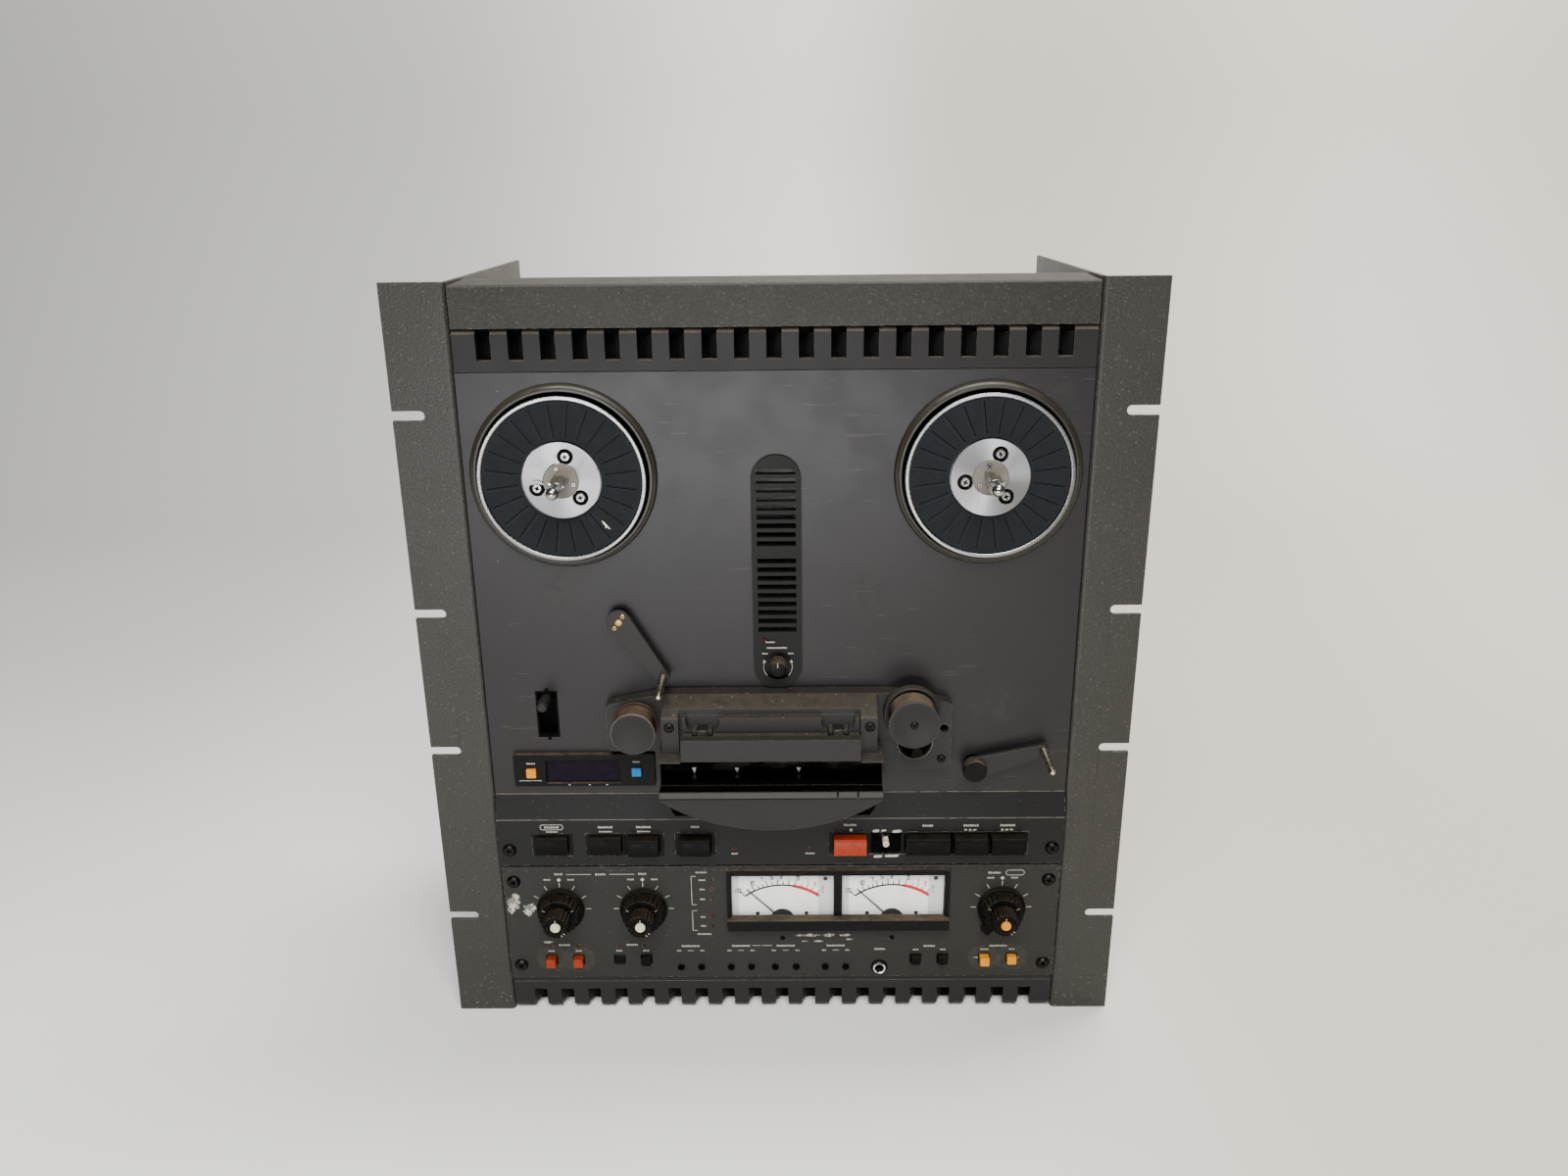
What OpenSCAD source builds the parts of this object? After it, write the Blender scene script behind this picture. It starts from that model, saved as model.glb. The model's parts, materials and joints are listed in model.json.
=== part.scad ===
// Rack mounted reel to reel tape deck, an assembly of separate pieces.
// Millimetres. +X is to the right, +Y is to the rear, +Z is up.
// The origin is the middle of the footprint, on the surface that the deck stands on.

/* [Rack frame] */
// Width over the two rack ears, the 19 inch rack standard
rack_w = 482.6; // [481.6:0.1:483.6]
// Height of the rack ears, twelve rack units less the clearance
rack_h = 532.6; // [530.6:0.1:533.4]
// Depth of the side flanges behind the front of the ears
flange_depth = 217; // [205:1:235]
// Thickness of the ears' folded sheet
ear_t = 2.4; // [2:0.1:2.6]
// Distance between the inner faces of the two side flanges
bay_w = 400; // [399.8:0.1:400.4]
// Height of the open rack notches
notch_h = 6.2; // [5.6:0.1:6.6]

/* [Reel tables] */
// Distance between the two reel centres
reel_spacing = 271; // [268:1:274]
// Height of the reel centres
reel_z = 410.5; // [409:0.5:412]
// Radius of a reel table's bright rim
platter_r = 53.75; // [53:0.25:54]
// Radius of the reel spindles
spindle_r = 3.95; // [3.8:0.05:3.95]
// Reach of the spindle tips in front of the ears
front_reach = 46; // [45:0.5:48]

/* [Tape transport] */
// Radius of the capstan shaft
capstan_r = 4; // [3.5:0.1:4]
// Radius of the capstan flywheel
flywheel_r = 45; // [40:1:46]
// Radius of the capstan motor's pulley
pulley_r = 9; // [8:0.5:10]
// Radius of the pivot shafts of the tension arms and the pinch arm
pivot_r = 4; // [3.5:0.1:4]
// Radius of the pinch roller
pinch_r = 16; // [15:0.25:16]
// Radius of the guide roller's body
roller_r = 13.4; // [12.5:0.1:13.6]
// Length of the tension arms, pivot to post
arm_len = 48.5; // [46:0.5:49]

/* [Controls] */
// Height of the large keys
key_h = 13; // [12:0.25:13]
// Width of the small square buttons
button_w = 6.7; // [6:0.1:7]
// Radius of the level knobs' skirts
knob_r = 17; // [16:0.25:17.5]

/* [Hidden] */

$fn = 64;

// Every piece is drawn with Y = 0 at the front face of the ears, then moved back by mid_y.
mid_y = (flange_depth - front_reach) / 2;

// Inner half width between the flanges, and half width of the panels in that bay
bay = bay_w / 2;
panel_x = bay - 0.6;
sheet_t = 2;
running = 0.05;
eps = 0.01;

// Rack notches: the height of each, and how far in from the middle their round end is
notch_z = [82.15, 215.5, 317.1, 450.45];
notch_x = 223.8;

// Heights of the seams between the front panels
trim_z = [504.2, 530.5];
trim_depth = 45;
deck_z = [182.6, 477.2];
control_z = [127.6, 182.2];
audio_z = [29.6, 125.2];
base_z = 26;
top_z = 505;

// Depths of the front faces, and of the plate that carries the transport
deck_t = 3;
control_y = -6;
audio_y = -3;
frame_y = 6;
plate_y = 9;
rear_y = flange_depth - 6;

// Vent slots
slot_pitch = 20;
slot_w = 9.3;

// Transport: X and Z of each axis
supply_at = [-reel_spacing / 2, reel_z];
takeup_at = [reel_spacing / 2, reel_z];
supply_pivot = [-104.7, 313.6];
takeup_pivot = [134.2, 204];
supply_arm_angle = -55;
takeup_arm_angle = 16.4;
roller_at = [-96.4, 242.3];
capstan_at = [92.7, 225];
pinch_at = [89.5, 250];
pinch_pivot = [103, 243];
motor_at = [-20, 225];
pitch_at = [0, 279.5];
cue_at = [-157.9, 256.5];
cue_pivot = [30, 243.5];

// Head block
base_front = -10.8;
cover_front = -28.5;
gate_front = -40;
hinge_at = [-30.5, 244.2];
hinge_x = [-50.1, 39.8];
slot_top = 225.4;
apron_top = 203.8;
block_x = [-79.9, 69.8];
gate_x = [-64.1, 54.4];
apron_r = 107;
apron_low = 165.9;

// Level knobs and meters
knob_z = 89.5;
knob_x = [-159.3, -99.2, 158.9];
meter_x = [1, 80.5];
meter_z = 77.8;
meter_box_x = [-38.6, 121.1];
meter_box_z = [72.9, 122.8];
windows = [[-35.5, 38.2], [44.1, 117.8]];
window_z = [83.4, 116.9];
needle_len = 36;

// Large keys: name, middle, width, how far each stands out of the panel, colour
key_z = 144.9;
KEYS = [["power_key", -160.8, 22.3, 4, "dimgray"], ["speed_key", -122.9, 22.3, 4, "dimgray"],
    ["reel_size_key", -96, 21.6, 8, "dimgray"], ["edit_key", -59.8, 21.9, 8, "dimgray"],
    ["record_key", 49.3, 23, 8, "orangered"], ["stop_key", 103.8, 31.4, 8, "dimgray"],
    ["rewind_key", 134.1, 23.6, 8, "dimgray"], ["forward_key", 159.8, 23.2, 8, "dimgray"]];
play_x = 75.4;

// Small square buttons: name, middle, how far each stands out of the panel, colour
button_z = 45.9;
BUTTONS = [["record_ready_1", -168.8, 6, "orangered"], ["record_ready_2", -148.9, 6, "orangered"],
    ["playback_sync_1", -119, 0.5, "dimgray"], ["playback_sync_2", -99.3, 4, "dimgray"],
    ["tone_low_button", 98.2, 4, "dimgray"], ["tone_high_button", 118, 4, "dimgray"],
    ["monitor_1_button", 148.5, 6, "orange"], ["monitor_2_button", 168.4, 4, "orange"]];

// Counter buttons: name, X, Z, colour
COUNTER = [["memory_button", -171.9, 200.5, "orange"], ["reset_button", -98.8, 201.3, "deepskyblue"]];

// Panel screws, trimmer holes, small lamps and the headphone jack
screw_at = [for (s = [-1, 1], z = [140.3, 112.5, 41.4]) [s * 191.8, z]];
trimmer_x = [-74, -59, -37.1, -22.2, -4.6, 10.7, 32.2, 47.2];
trimmer_z = 38.5;
lamp_at = concat([for (z = [113, 105.3, 97.1, 82.1, 74.5]) [-49.5, z]],
    [for (x = [-169, -149.1, -119.5, -100.3]) [x, 57.4]]);
jack_at = [71.8, 38.3];
jack_r = 3.2;

// ---- shared drawing helpers ----

// Moves a piece from the drawing position to the deck's own origin
module seat() {
    translate([0, -mid_y, 0]) children();
}

// A box given by its two corners
module box(x, y, z) {
    translate([x[0], y[0], z[0]]) cube([x[1] - x[0], y[1] - y[0], z[1] - z[0]]);
}

// A round bar along Y, at [X, Z], between two depths
module rod(r, y, at) {
    translate([at[0], y[1], at[1]]) rotate([90, 0, 0]) cylinder(r = r, h = y[1] - y[0]);
}

// An X and Z outline, given thickness between two depths
module slab(y) {
    translate([0, y[1], 0]) rotate([90, 0, 0]) linear_extrude(y[1] - y[0]) children();
}

// A Y and Z section, drawn out between two X values
module bar(x) {
    translate([x[0], 0, 0]) rotate([90, 0, 90]) linear_extrude(x[1] - x[0]) children();
}

// A turned piece about a Y axis. Its section is radius against distance in front of Y = 0.
module turned(at) {
    translate([at[0], 0, at[1]]) rotate([90, 0, 0]) rotate_extrude() children();
}

// Points on an arc
function arc(c, r, a0, a1, n = 8) =
    [for (i = [0:n]) c + r * [cos(a0 + (a1 - a0) * i / n), sin(a0 + (a1 - a0) * i / n)]];

// Points of a rectangle with round corners
function round_box(x, z, r, n = 6) =
    concat(arc([x[1] - r, z[0] + r], r, -90, 0, n), arc([x[1] - r, z[1] - r], r, 0, 90, n),
        arc([x[0] + r, z[1] - r], r, 90, 180, n), arc([x[0] + r, z[0] + r], r, 180, 270, n));

// Points of a square about a middle
function square_at(at, w) =
    [[at[0] - w / 2, at[1] - w / 2], [at[0] + w / 2, at[1] - w / 2],
        [at[0] + w / 2, at[1] + w / 2], [at[0] - w / 2, at[1] + w / 2]];

// ---- frame and covers ----

// One folded ear: a notched front plate and a side flange whose top falls to the rear
module ear() {
    bend = 3.2;
    fall = 5;
    difference() {
        linear_extrude(rack_h) polygon(concat(
            [[rack_w / 2, 0], [rack_w / 2, ear_t], [bay + ear_t, ear_t]],
            [[bay + ear_t, flange_depth], [bay, flange_depth]],
            arc([bay + bend, bend], bend, 180, 270)));
        for (z = notch_z)
            slab([-1, ear_t + 1]) polygon(concat(arc([notch_x, z], notch_h / 2, 90, 270, 12),
                [[rack_w / 2 + 1, z - notch_h / 2], [rack_w / 2 + 1, z + notch_h / 2]]));
        bar([bay - 1, bay + ear_t + 1])
            polygon([[bend, rack_h + 1], [bend, rack_h], [flange_depth + 1, rack_h - fall],
                [flange_depth + 1, rack_h + 1]]);
    }
}

module rack_ears() {
    color("dimgray") seat() {
        ear();
        mirror([1, 0, 0]) ear();
    }
}

// Folded trim channel across the top: front, top and rear walls, open below
module top_trim() {
    wall = 1.6;
    front = -0.5;
    rear_foot = top_z + 0.2;
    color("dimgray") seat() bar([-panel_x + 0.2, panel_x - 0.2]) polygon(concat(
        [[front, trim_z[0]], [front + wall, trim_z[0]], [front + wall, trim_z[1] - wall]],
        [[trim_depth - wall, trim_z[1] - wall], [trim_depth - wall, rear_foot]],
        [[trim_depth, rear_foot], [trim_depth, trim_z[1]]],
        arc([front + wall, trim_z[1] - wall], wall, 90, 180)));
}

// A comb of teeth on a band: dir is 1 for teeth that stand up, -1 for teeth that hang down
module comb(z_band, band_h, tooth_h, dir) {
    bevel = 2.6;
    depth = 5.5;
    z_end = z_band + dir * (band_h + tooth_h);
    z_root = z_band + dir * band_h;
    difference() {
        bar([-panel_x, panel_x]) polygon([[0, z_band], [0, z_end - dir * bevel],
            [bevel, z_end], [depth, z_end], [depth, z_band]]);
        for (i = [-9:9])
            box([i * slot_pitch - slot_w / 2, i * slot_pitch + slot_w / 2], [-1, depth + 1],
                [min(z_root, z_end + dir), max(z_root, z_end + dir)]);
    }
}

// A slanted vane behind each slot, joined to the tooth on its side dir
module vane(x, z, dir) {
    edge = dir * (slot_w / 2 + 0.2);
    translate([x, 0, z[0]]) linear_extrude(z[1] - z[0])
        polygon([[edge, 1.2], [edge, 3], [dir * 1.6, 11], [0, 11]]);
}

// The lower strip is the upper one's pattern turned half a turn, with a groove along its band
module vent_strips() {
    color("dimgray") seat() {
        comb(477.5, 7, 19, 1);
        difference() {
            comb(28.2, 10.5, 15.4, -1);
            box([-bay, bay], [-1, 0.8], [24.6, 25.4]);
        }
        for (i = [-9:9]) {
            vane(i * slot_pitch, [484, 499.4], 1);
            vane(i * slot_pitch, [4.9, 18.2], -1);
        }
    }
}

module deck_panel() {
    color("gray") seat() difference() {
        box([-panel_x, panel_x], [0, deck_t], deck_z);
        for (at = [supply_at, takeup_at])
            rod(56.3, [-1, deck_t + 1], at);
        for (at = [supply_pivot, takeup_pivot, pinch_pivot])
            rod(7, [-1, deck_t + 1], at);
        rod(16, [-1, deck_t + 1], capstan_at);
        slab([-1, deck_t + 1]) polygon(round_box([-14.4, 14.4], [266, 420], 12));
        box([-165.7, -150.7], [-1, deck_t + 1], [226, 260.7]);
        for (z = [225.2, 261.5])
            rod(1.4, [-1, deck_t + 1], [cue_at[0], z]);
        box([-181, -89], [-1, deck_t + 1], [192, 212]);
    }
}

// The stepped ring round a reel table, and its collar through the deck panel
module reel_bezel(at) {
    turned(at) polygon([[54.9, -4], [56, -4], [56, 0], [60, 0], [60, 1.6], [58.9, 3.2],
        [57.6, 3.6], [57, 4.8], [55.6, 4.8], [54.9, 4]]);
}

module reel_bezels() {
    color("darkolivegreen") seat() {
        reel_bezel(supply_at);
        reel_bezel(takeup_at);
    }
}

module center_grille() {
    pitch = 5.98;
    slot_h = 3.4;
    blank = 9;
    color("dimgray") seat() difference() {
        union() {
            slab([-2, 0]) polygon(round_box([-16.2, 16.2], [262.8, 424], 15.9, 12));
            slab([-1, 4]) polygon(round_box([-14.1, 14.1], [266.3, 419.7], 11.7, 8));
        }
        for (i = [0:18])
            if (i != blank)
                box([-12.7, 12.7], [-3, 5], [411.4 - i * pitch, 411.4 + slot_h - i * pitch]);
        rod(10.3, [-3, 2.4], pitch_at);
        rod(2.3, [2, 5], pitch_at);
        rod(1.3, [-3, 5], [-8.7, 298.3]);
    }
}

// Side plates, floor, top and the front frame, with the plate that carries the transport
module chassis() {
    color("black") seat() difference() {
        union() {
            for (s = [0, 1])
                mirror([s, 0, 0]) box([bay - sheet_t, bay], [frame_y, rear_y], [base_z, top_z]);
            box([-bay, bay], [frame_y, rear_y], [base_z, base_z + sheet_t]);
            box([-bay, bay], [trim_depth - 2, rear_y], [top_z - sheet_t, top_z]);
            box([-bay, bay], [frame_y, plate_y], [base_z, top_z - sheet_t]);
            rod(10.8, [base_front - 0.1, 36], capstan_at);
            for (x = [-185, 185], z = [198, 335, 470])
                rod(4, [deck_t, frame_y + 1], [x, z]);
            for (s = [-1, 1])
                box([cue_at[0] + s * 9.5 - 0.9, cue_at[0] + s * 9.5 + 0.9], [plate_y - 1, 34],
                    [238, 249]);
        }
        box([-bay + 14, bay - 14], [frame_y - 1, plate_y + 1], [32, 178]);
        box([-bay + 6, bay - 6], [frame_y - 1, plate_y + 1], [480, 500]);
        box([-15, 15], [frame_y - 1, plate_y + 1], [264, 420]);
        for (at = [supply_at, takeup_at])
            rod(14, [frame_y - 1, plate_y + 1], at);
        for (at = [supply_pivot, takeup_pivot, pinch_pivot])
            rod(pivot_r + running, [frame_y - 1, plate_y + 1], at);
        rod(capstan_r + running, [-20, 40], capstan_at);
        rod(9.6, [-12, -5], capstan_at);
        box([cue_at[0] - 8.6, cue_at[0] + 8.6], [frame_y - 1, plate_y + 1], [224, 263]);
        translate([cue_at[0] - 12, cue_pivot[0], cue_pivot[1]]) rotate([0, 90, 0])
            cylinder(r = 2.5 + running, h = 24);
        box([-182, -88], [frame_y - 1, plate_y + 1], [191, 213]);
        for (s = [-1, 1], z = [140.3, 112.5, 41.4])
            rod(2, [frame_y - 1, plate_y + 1], [s * 191.8, z]);
    }
}

// Ventilated rear cover with the sockets for signal, remote control and mains
module rear_cover() {
    z_rows = [for (i = [0:9]) 330 + i * 14];
    sockets = [-150, -110, -70, -30];
    color("dimgray") seat() difference() {
        union() {
            box([-bay + 0.3, bay - 0.3], [rear_y, rear_y + 2], [base_z, top_z]);
            for (x = sockets)
                rod(13, [rear_y + 1, rear_y + 5], [x, 90]);
            box([40, 90], [rear_y + 1, rear_y + 4.5], [75, 105]);
            box([120, 170], [rear_y + 1, rear_y + 5], [70, 104]);
            rod(8, [rear_y + 1, rear_y + 6], [110, 130]);
        }
        for (z = z_rows, s = [-1, 1])
            box([s * 95 - 60, s * 95 + 60], [rear_y - 1, rear_y + 7], [z, z + 5]);
        for (x = sockets)
            rod(10, [rear_y + 2.5, rear_y + 7], [x, 90]);
        box([44, 86], [rear_y + 2.5, rear_y + 7], [79, 101]);
        box([125, 165], [rear_y + 2.5, rear_y + 7], [74, 100]);
    }
}

// ---- front panels ----

// Opening behind the head apron, in the sloping part of the control panel
module apron_opening() {
    slab([-10, 5]) polygon([[-79, 184], [-77, 172], [-73.5, 166.5], [63.5, 166.5], [67, 172],
        [69, 184]]);
}

module control_panel() {
    well = 3.2;
    color("dimgray") seat() difference() {
        bar([-panel_x, panel_x]) polygon([[0, control_z[1]], [control_y, 164.3],
            [control_y, control_z[0]], [3, control_z[0]], [3, control_z[0] + 2.5],
            [control_y + 2.5, control_z[0] + 2.5], [control_y + 2.5, 163.9], [2, 181], [3, control_z[1]]]);
        for (k = KEYS) {
            box([k[1] - k[2] / 2 - well, k[1] + k[2] / 2 + well], [control_y - 1, control_y + 1],
                [key_z - 9.4, key_z + 8.6]);
            box([k[1] - k[2] / 2 - 0.5, k[1] + k[2] / 2 + 0.5], [control_y, 0],
                [key_z - key_h / 2 - 0.5, key_z + key_h / 2 + 0.5]);
        }
        box([play_x - 11.5, play_x + 11.5], [control_y - 1, 0], [key_z - 9, key_z + 8.2]);
        apron_opening();
        for (at = screw_at)
            rod(2.4, [control_y - 1, 0], at);
        for (x = [-32.3, 21.2])
            rod(1.3, [control_y - 1, 0], [x, 140.4]);
    }
}

module audio_panel() {
    hole_w = 8;
    color("dimgray") seat() difference() {
        union() {
            bar([-panel_x, panel_x]) polygon([[audio_y + 1.2, audio_z[0]], [audio_y, 51.5],
                [audio_y, 121.3], [audio_y - 1, 121.8], [audio_y - 1, 124.6],
                [audio_y - 0.4, audio_z[1]], [audio_y + 2.5, audio_z[1]], [audio_y + 2.5, audio_z[0]]]);
            rod(4.6, [audio_y - 1.2, 22], jack_at);
        }
        for (b = BUTTONS)
            slab([-6, 2]) polygon(square_at([b[1], button_z], hole_w));
        for (x = knob_x)
            rod(3.4, [-6, 2], [x, knob_z]);
        box([-36.6, 119.1], [-6, 2], [73.4, 119.9]);
        box([meter_box_x[0] - 0.1, meter_box_x[1] + 0.1], [-6, audio_y], [120, meter_box_z[1] + 0.1]);
        for (x = trimmer_x)
            rod(2.4, [-6, 2], [x, trimmer_z]);
        for (x = meter_x)
            rod(1.9, [-6, 2], [x, 63.8]);
        for (at = lamp_at)
            rod(1.3, [-6, 2], at);
        for (at = screw_at)
            rod(2.4, [-6, 2], at);
        rod(jack_r, [-6, 18], jack_at);
    }
}

// Frame round both meters with a protruding lower lip, and the closed meter case behind it
module meter_housing() {
    x = meter_box_x;
    z = meter_box_z;
    color("black") seat() difference() {
        union() {
            box(x, [-4.6, audio_y], [z[0], z[1]]);
            bar(x) polygon([[audio_y, z[0]], [-10, z[0] + 1.4], [-10, 82.8], [-9.4, 83.2],
                [audio_y, 83.4]]);
            bar(x) polygon([[audio_y, z[1]], [-6, z[1] - 0.4], [-6, z[1] - 2.4],
                [audio_y, z[1] - 5.9]]);
            for (s = [x[0], x[1] - 2.4])
                box([s, s + 2.4], [-6.4, audio_y], [z[0] + 2, z[1] - 1]);
            box([-36.4, 118.9], [audio_y - eps, 14], [73.6, 119.7]);
        }
        for (w = windows) {
            box(w, [-20, -1], window_z);
            box(w, [-2.4, 1], [75, 117.7]);
        }
    }
}

module counter_bezel() {
    z = [189.9, 214.4];
    color("dimgray") seat() difference() {
        union() {
            box([-184, -86.2], [-4, 0], z);
            box([-180.6, -89.4], [-eps, 3], [192.4, 211.6]);
        }
        box([-161.8, -110.4], [-5, -1], [192.2, 209.8]);
        box([-160, -112], [-2, 5], [194, 208]);
        for (b = COUNTER)
            slab([-5, 5]) polygon(square_at([b[1], b[2]], 8));
    }
}

// Cross head screws of the control and audio panels, six separate solids
module panel_screws() {
    head_r = 4.9;
    color("black") seat() for (at = screw_at) {
        front = at[1] > control_z[0] ? control_y : audio_y;
        difference() {
            union() {
                turned(at) polygon([[0, -front], [head_r, -front], [head_r, -front + 0.9],
                    [3.6, -front + 2.1], [0, -front + 2.4]]);
                rod(1.95, [front - eps, plate_y], at);
            }
            for (a = [0, 90])
                translate([at[0], front - 2, at[1]]) rotate([0, a + 20, 0])
                    cube([4.4, 2.4, 0.9], center = true);
        }
    }
}

// ---- head block ----

// Plate behind the heads and rollers, with the fixed shaft of the guide roller
module head_base() {
    color("dimgray") seat() difference() {
        union() {
            slab([base_front, 0]) polygon([[-81, 190], [72, 190], [72, 206.2], [115.5, 206.2],
                [117, 207.7], [117, 253.2], [115.5, 254.9], [76, 262.6], [-78, 262.6],
                [-115.2, 255], [-116.7, 253.2], [-116.7, 222], [-115.2, 220.5], [-81, 220.5]]);
            rod(3, [-28, base_front], roller_at);
        }
        rod(13, [base_front - 1, 1], capstan_at);
        rod(5, [base_front - 1, 1], pinch_pivot);
        rod(3, [base_front - 1, 1], [112.2, 235.9]);
    }
}

// Moulded cover over the heads, open below, with a pin between two ears for each gate hinge
module head_cover() {
    block = 11.5;
    left = [-77.5, -77.5 + block];
    right = [65.9 - block, 65.9];
    face_x = [gate_x[0] + 0.4, gate_x[1] - 0.4];
    color("dimgray") seat() {
        difference() {
            union() {
                bar([left[0], right[1]]) polygon([[base_front, 226.6], [-23, 226.6],
                    [-23, 257.2], [-21, 258.4], [base_front, 263]]);
                for (x = [left, right])
                    bar(x) polygon([[-20, 226.6], [cover_front, 226.6], [cover_front, 252],
                        [cover_front + 1.2, 253.6], [-20, 258.5]]);
                for (x = [[block_x[0], gate_x[0] - 0.4], [gate_x[1] + 0.4, block_x[1]]])
                    box(x, [gate_front, base_front], [slot_top, 226.7]);
                box(face_x, [-28.7, -22.5], [241, 253.2]);
                box(face_x, [-32.4, -22.5], [240, 242]);
            }
            box([-64.5, 53], [-21.5, base_front + 1], [220, 250]);
            for (x = hinge_x) {
                rod(11, [-29, -24], [x, 251.3]);
                box([x - 7, x + 7], [-33, -24], [239, 243]);
            }
        }
        for (x = hinge_x, s = [-1, 1])
            box([x + s * 5.1 - 1.3, x + s * 5.1 + 1.3], [-31.9, -23.5], [242.8, 245.8]);
        for (x = hinge_x)
            translate([x - 5, hinge_at[0], hinge_at[1]]) rotate([0, 90, 0]) cylinder(r = 0.8, h = 10);
    }
}

// Gate over the heads: a front plate and a ledge, with a barrel on each hinge pin
module head_gate() {
    wall = 2.4;
    leaf = 3;
    color("gray") seat() difference() {
        union() {
            bar(gate_x) polygon([[gate_front, 226.8], [gate_front + wall, 226.8],
                [gate_front + wall, 240], [-32.8, 240], [-32.8, 242.3], [gate_front, 242.3]]);
            for (x = hinge_x) {
                box([x - leaf, x + leaf], [-33, hinge_at[0] - 0.6], [240.6, 244]);
                translate([x - leaf, hinge_at[0], hinge_at[1]]) rotate([0, 90, 0])
                    cylinder(r = 1.6, h = 2 * leaf);
            }
        }
        for (x = hinge_x)
            translate([x - 6, hinge_at[0], hinge_at[1]]) rotate([0, 90, 0])
                cylinder(r = 0.8 + running, h = 12);
    }
}

// Apron under the tape slot, its lower edge a shallow arc
module head_apron() {
    mid_x = (block_x[0] + block_x[1]) / 2;
    color("gray") seat() difference() {
        intersection() {
            bar(block_x) polygon([[gate_front, apron_top], [base_front, apron_top],
                [base_front, 189.9], [-0.3, 189.9], [-0.3, 178], [-24, apron_low - 1],
                [gate_front + 1, 198.6], [gate_front, 199.4]]);
            translate([mid_x, 0, apron_low + apron_r]) rotate([90, 0, 0])
                cylinder(r = apron_r, h = 90, center = true, $fn = 128);
        }
        for (x = [38.6, 52.2])
            box([x, x + 1.4], [gate_front - 1, gate_front + 3], [199.4, apron_top + 1]);
    }
}

// Erase, record and playback heads on their bracket, faces down to the tape
module tape_heads() {
    color("silver") seat() {
        box([-63, 52], [-12.4, base_front], [238, 249.5]);
        for (x = [-57, -28.4, 13.3, 43]) {
            rod_face(x);
            box([x - 5, x + 5], [-20.5, -12], [232, 245]);
        }
    }
}

// Rounded pole face of one head
module rod_face(x) {
    translate([x, -20.5, 233]) rotate([-90, 0, 0]) cylinder(r = 5.5, h = 8);
}

// ---- moving transport pieces ----

// A reel table with its rim, mat recess, hub and splined spindle, on its motor shaft
module platter(at, first) {
    spline_f = 31;
    color("silver") seat() {
        difference() {
            turned(at) polygon([[0, -40], [5, -40], [5, 3.4], [52.6, 3.4], [platter_r, 4.2],
                [platter_r, 9.6], [platter_r - 0.5, 10], [50.9, 10], [50.9, 7.2], [25.1, 7.2],
                [25.1, 11.2], [0, 11.2]]);
            for (i = [0:2])
                rod(3.5, [-12, -9.6], at + 16.1 * [cos(first + i * 120), sin(first + i * 120)]);
        }
        turned(at) polygon([[0, 11], [11.2, 11], [11.2, 11.6], [spindle_r, 11.8],
            [spindle_r, spline_f], [spindle_r - 0.3, spline_f], [spindle_r - 0.3, spline_f + 0.6],
            [spindle_r, spline_f + 0.6], [spindle_r, 42.1], [spindle_r * 0.92, 43.7],
            [spindle_r * 0.7, 44.9], [spindle_r * 0.38, 45.8], [0, front_reach]]);
        for (i = [0:2])
            translate([at[0], 0, at[1]]) rotate([0, -first - 60 - i * 120, 0])
                box([spindle_r - 1.2, 5.7], [-spline_f, -11.4], [-0.8, 0.8]);
    }
}

module supply_platter() {
    platter(supply_at, 77);
}

module takeup_platter() {
    platter(takeup_at, 70);
}

// A tapered tension arm with its tape post and pivot shaft
module tension_arm(pivot, angle, cap_f) {
    end = pivot + arm_len * [cos(angle), sin(angle)];
    wide = 8.3;
    narrow = 4.4;
    lean = asin((wide - narrow) / arm_len);
    slab([-9, -5.6]) polygon(concat(arc(pivot, wide, angle + 90 - lean, angle + 270 + lean, 16),
        arc(end, narrow, angle - 90 + lean, angle + 90 - lean, 10)));
    turned(pivot) polygon([[0, -12], [pivot_r, -12], [pivot_r, 1], [6.2, 1], [6.2, 5.7], [0, 5.7]]);
    turned(pivot) polygon([[0, 8.9], [cap_f > 9 ? 8.2 : 2, 8.9], [cap_f > 9 ? 8.2 : 2, cap_f - 0.6],
        [cap_f > 9 ? 7.6 : 1.6, cap_f], [0, cap_f]]);
    turned(end) polygon([[0, 8.9], [3.3, 8.9], [3.3, 12], [2.7, 13], [2.7, 35], [2.2, 39.5],
        [1.4, 41.2], [0, 41.6]]);
}

module supply_arm() {
    color("dimgray") seat() tension_arm(supply_pivot, supply_arm_angle, 9.4);
}

module takeup_arm() {
    color("dimgray") seat() tension_arm(takeup_pivot, takeup_arm_angle, 13.2);
}

// Guide roller: rear flange, rubber body and front cap, bored for its fixed shaft
module guide_roller() {
    color("saddlebrown") seat() turned(roller_at) polygon([[3 + running, 11.3], [15, 11.3],
        [15, 13], [roller_r, 13.4], [roller_r, 29], [14.4, 29.4], [14.4, 30.6], [14, 31],
        [0, 31], [0, 28.4], [3 + running, 28.4]]);
}

// Pinch roller carrier: a round housing that turns about an offset shaft, notched for the capstan
module pinch_arm() {
    color("tan") seat() {
        difference() {
            turned(pinch_at) polygon([[0, 11.4], [18.6, 11.4], [19, 11.9], [19, 17.4], [18.4, 18],
                [17.4, 18], [17.4, 15.6], [5, 15.6], [5, 16.8], [2.5, 16.8], [2.5, 31.4],
                [0, 31.4]]);
            rod(7, [-20, -10], capstan_at + [-5, 4.2]);
            rod(7, [-20, -10], capstan_at);
        }
        turned(pinch_pivot) polygon([[0, -12], [pivot_r, -12], [pivot_r, 11.6], [0, 11.6]]);
    }
}

module pinch_roller() {
    color("dimgray") seat() turned(pinch_at) polygon([[2.5 + running, 17.2], [pinch_r, 17.2],
        [pinch_r, 33], [16.5, 33.4], [16.5, 34.6], [16, 35], [0, 35], [0, 31.8],
        [2.5 + running, 31.8]]);
}

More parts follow.
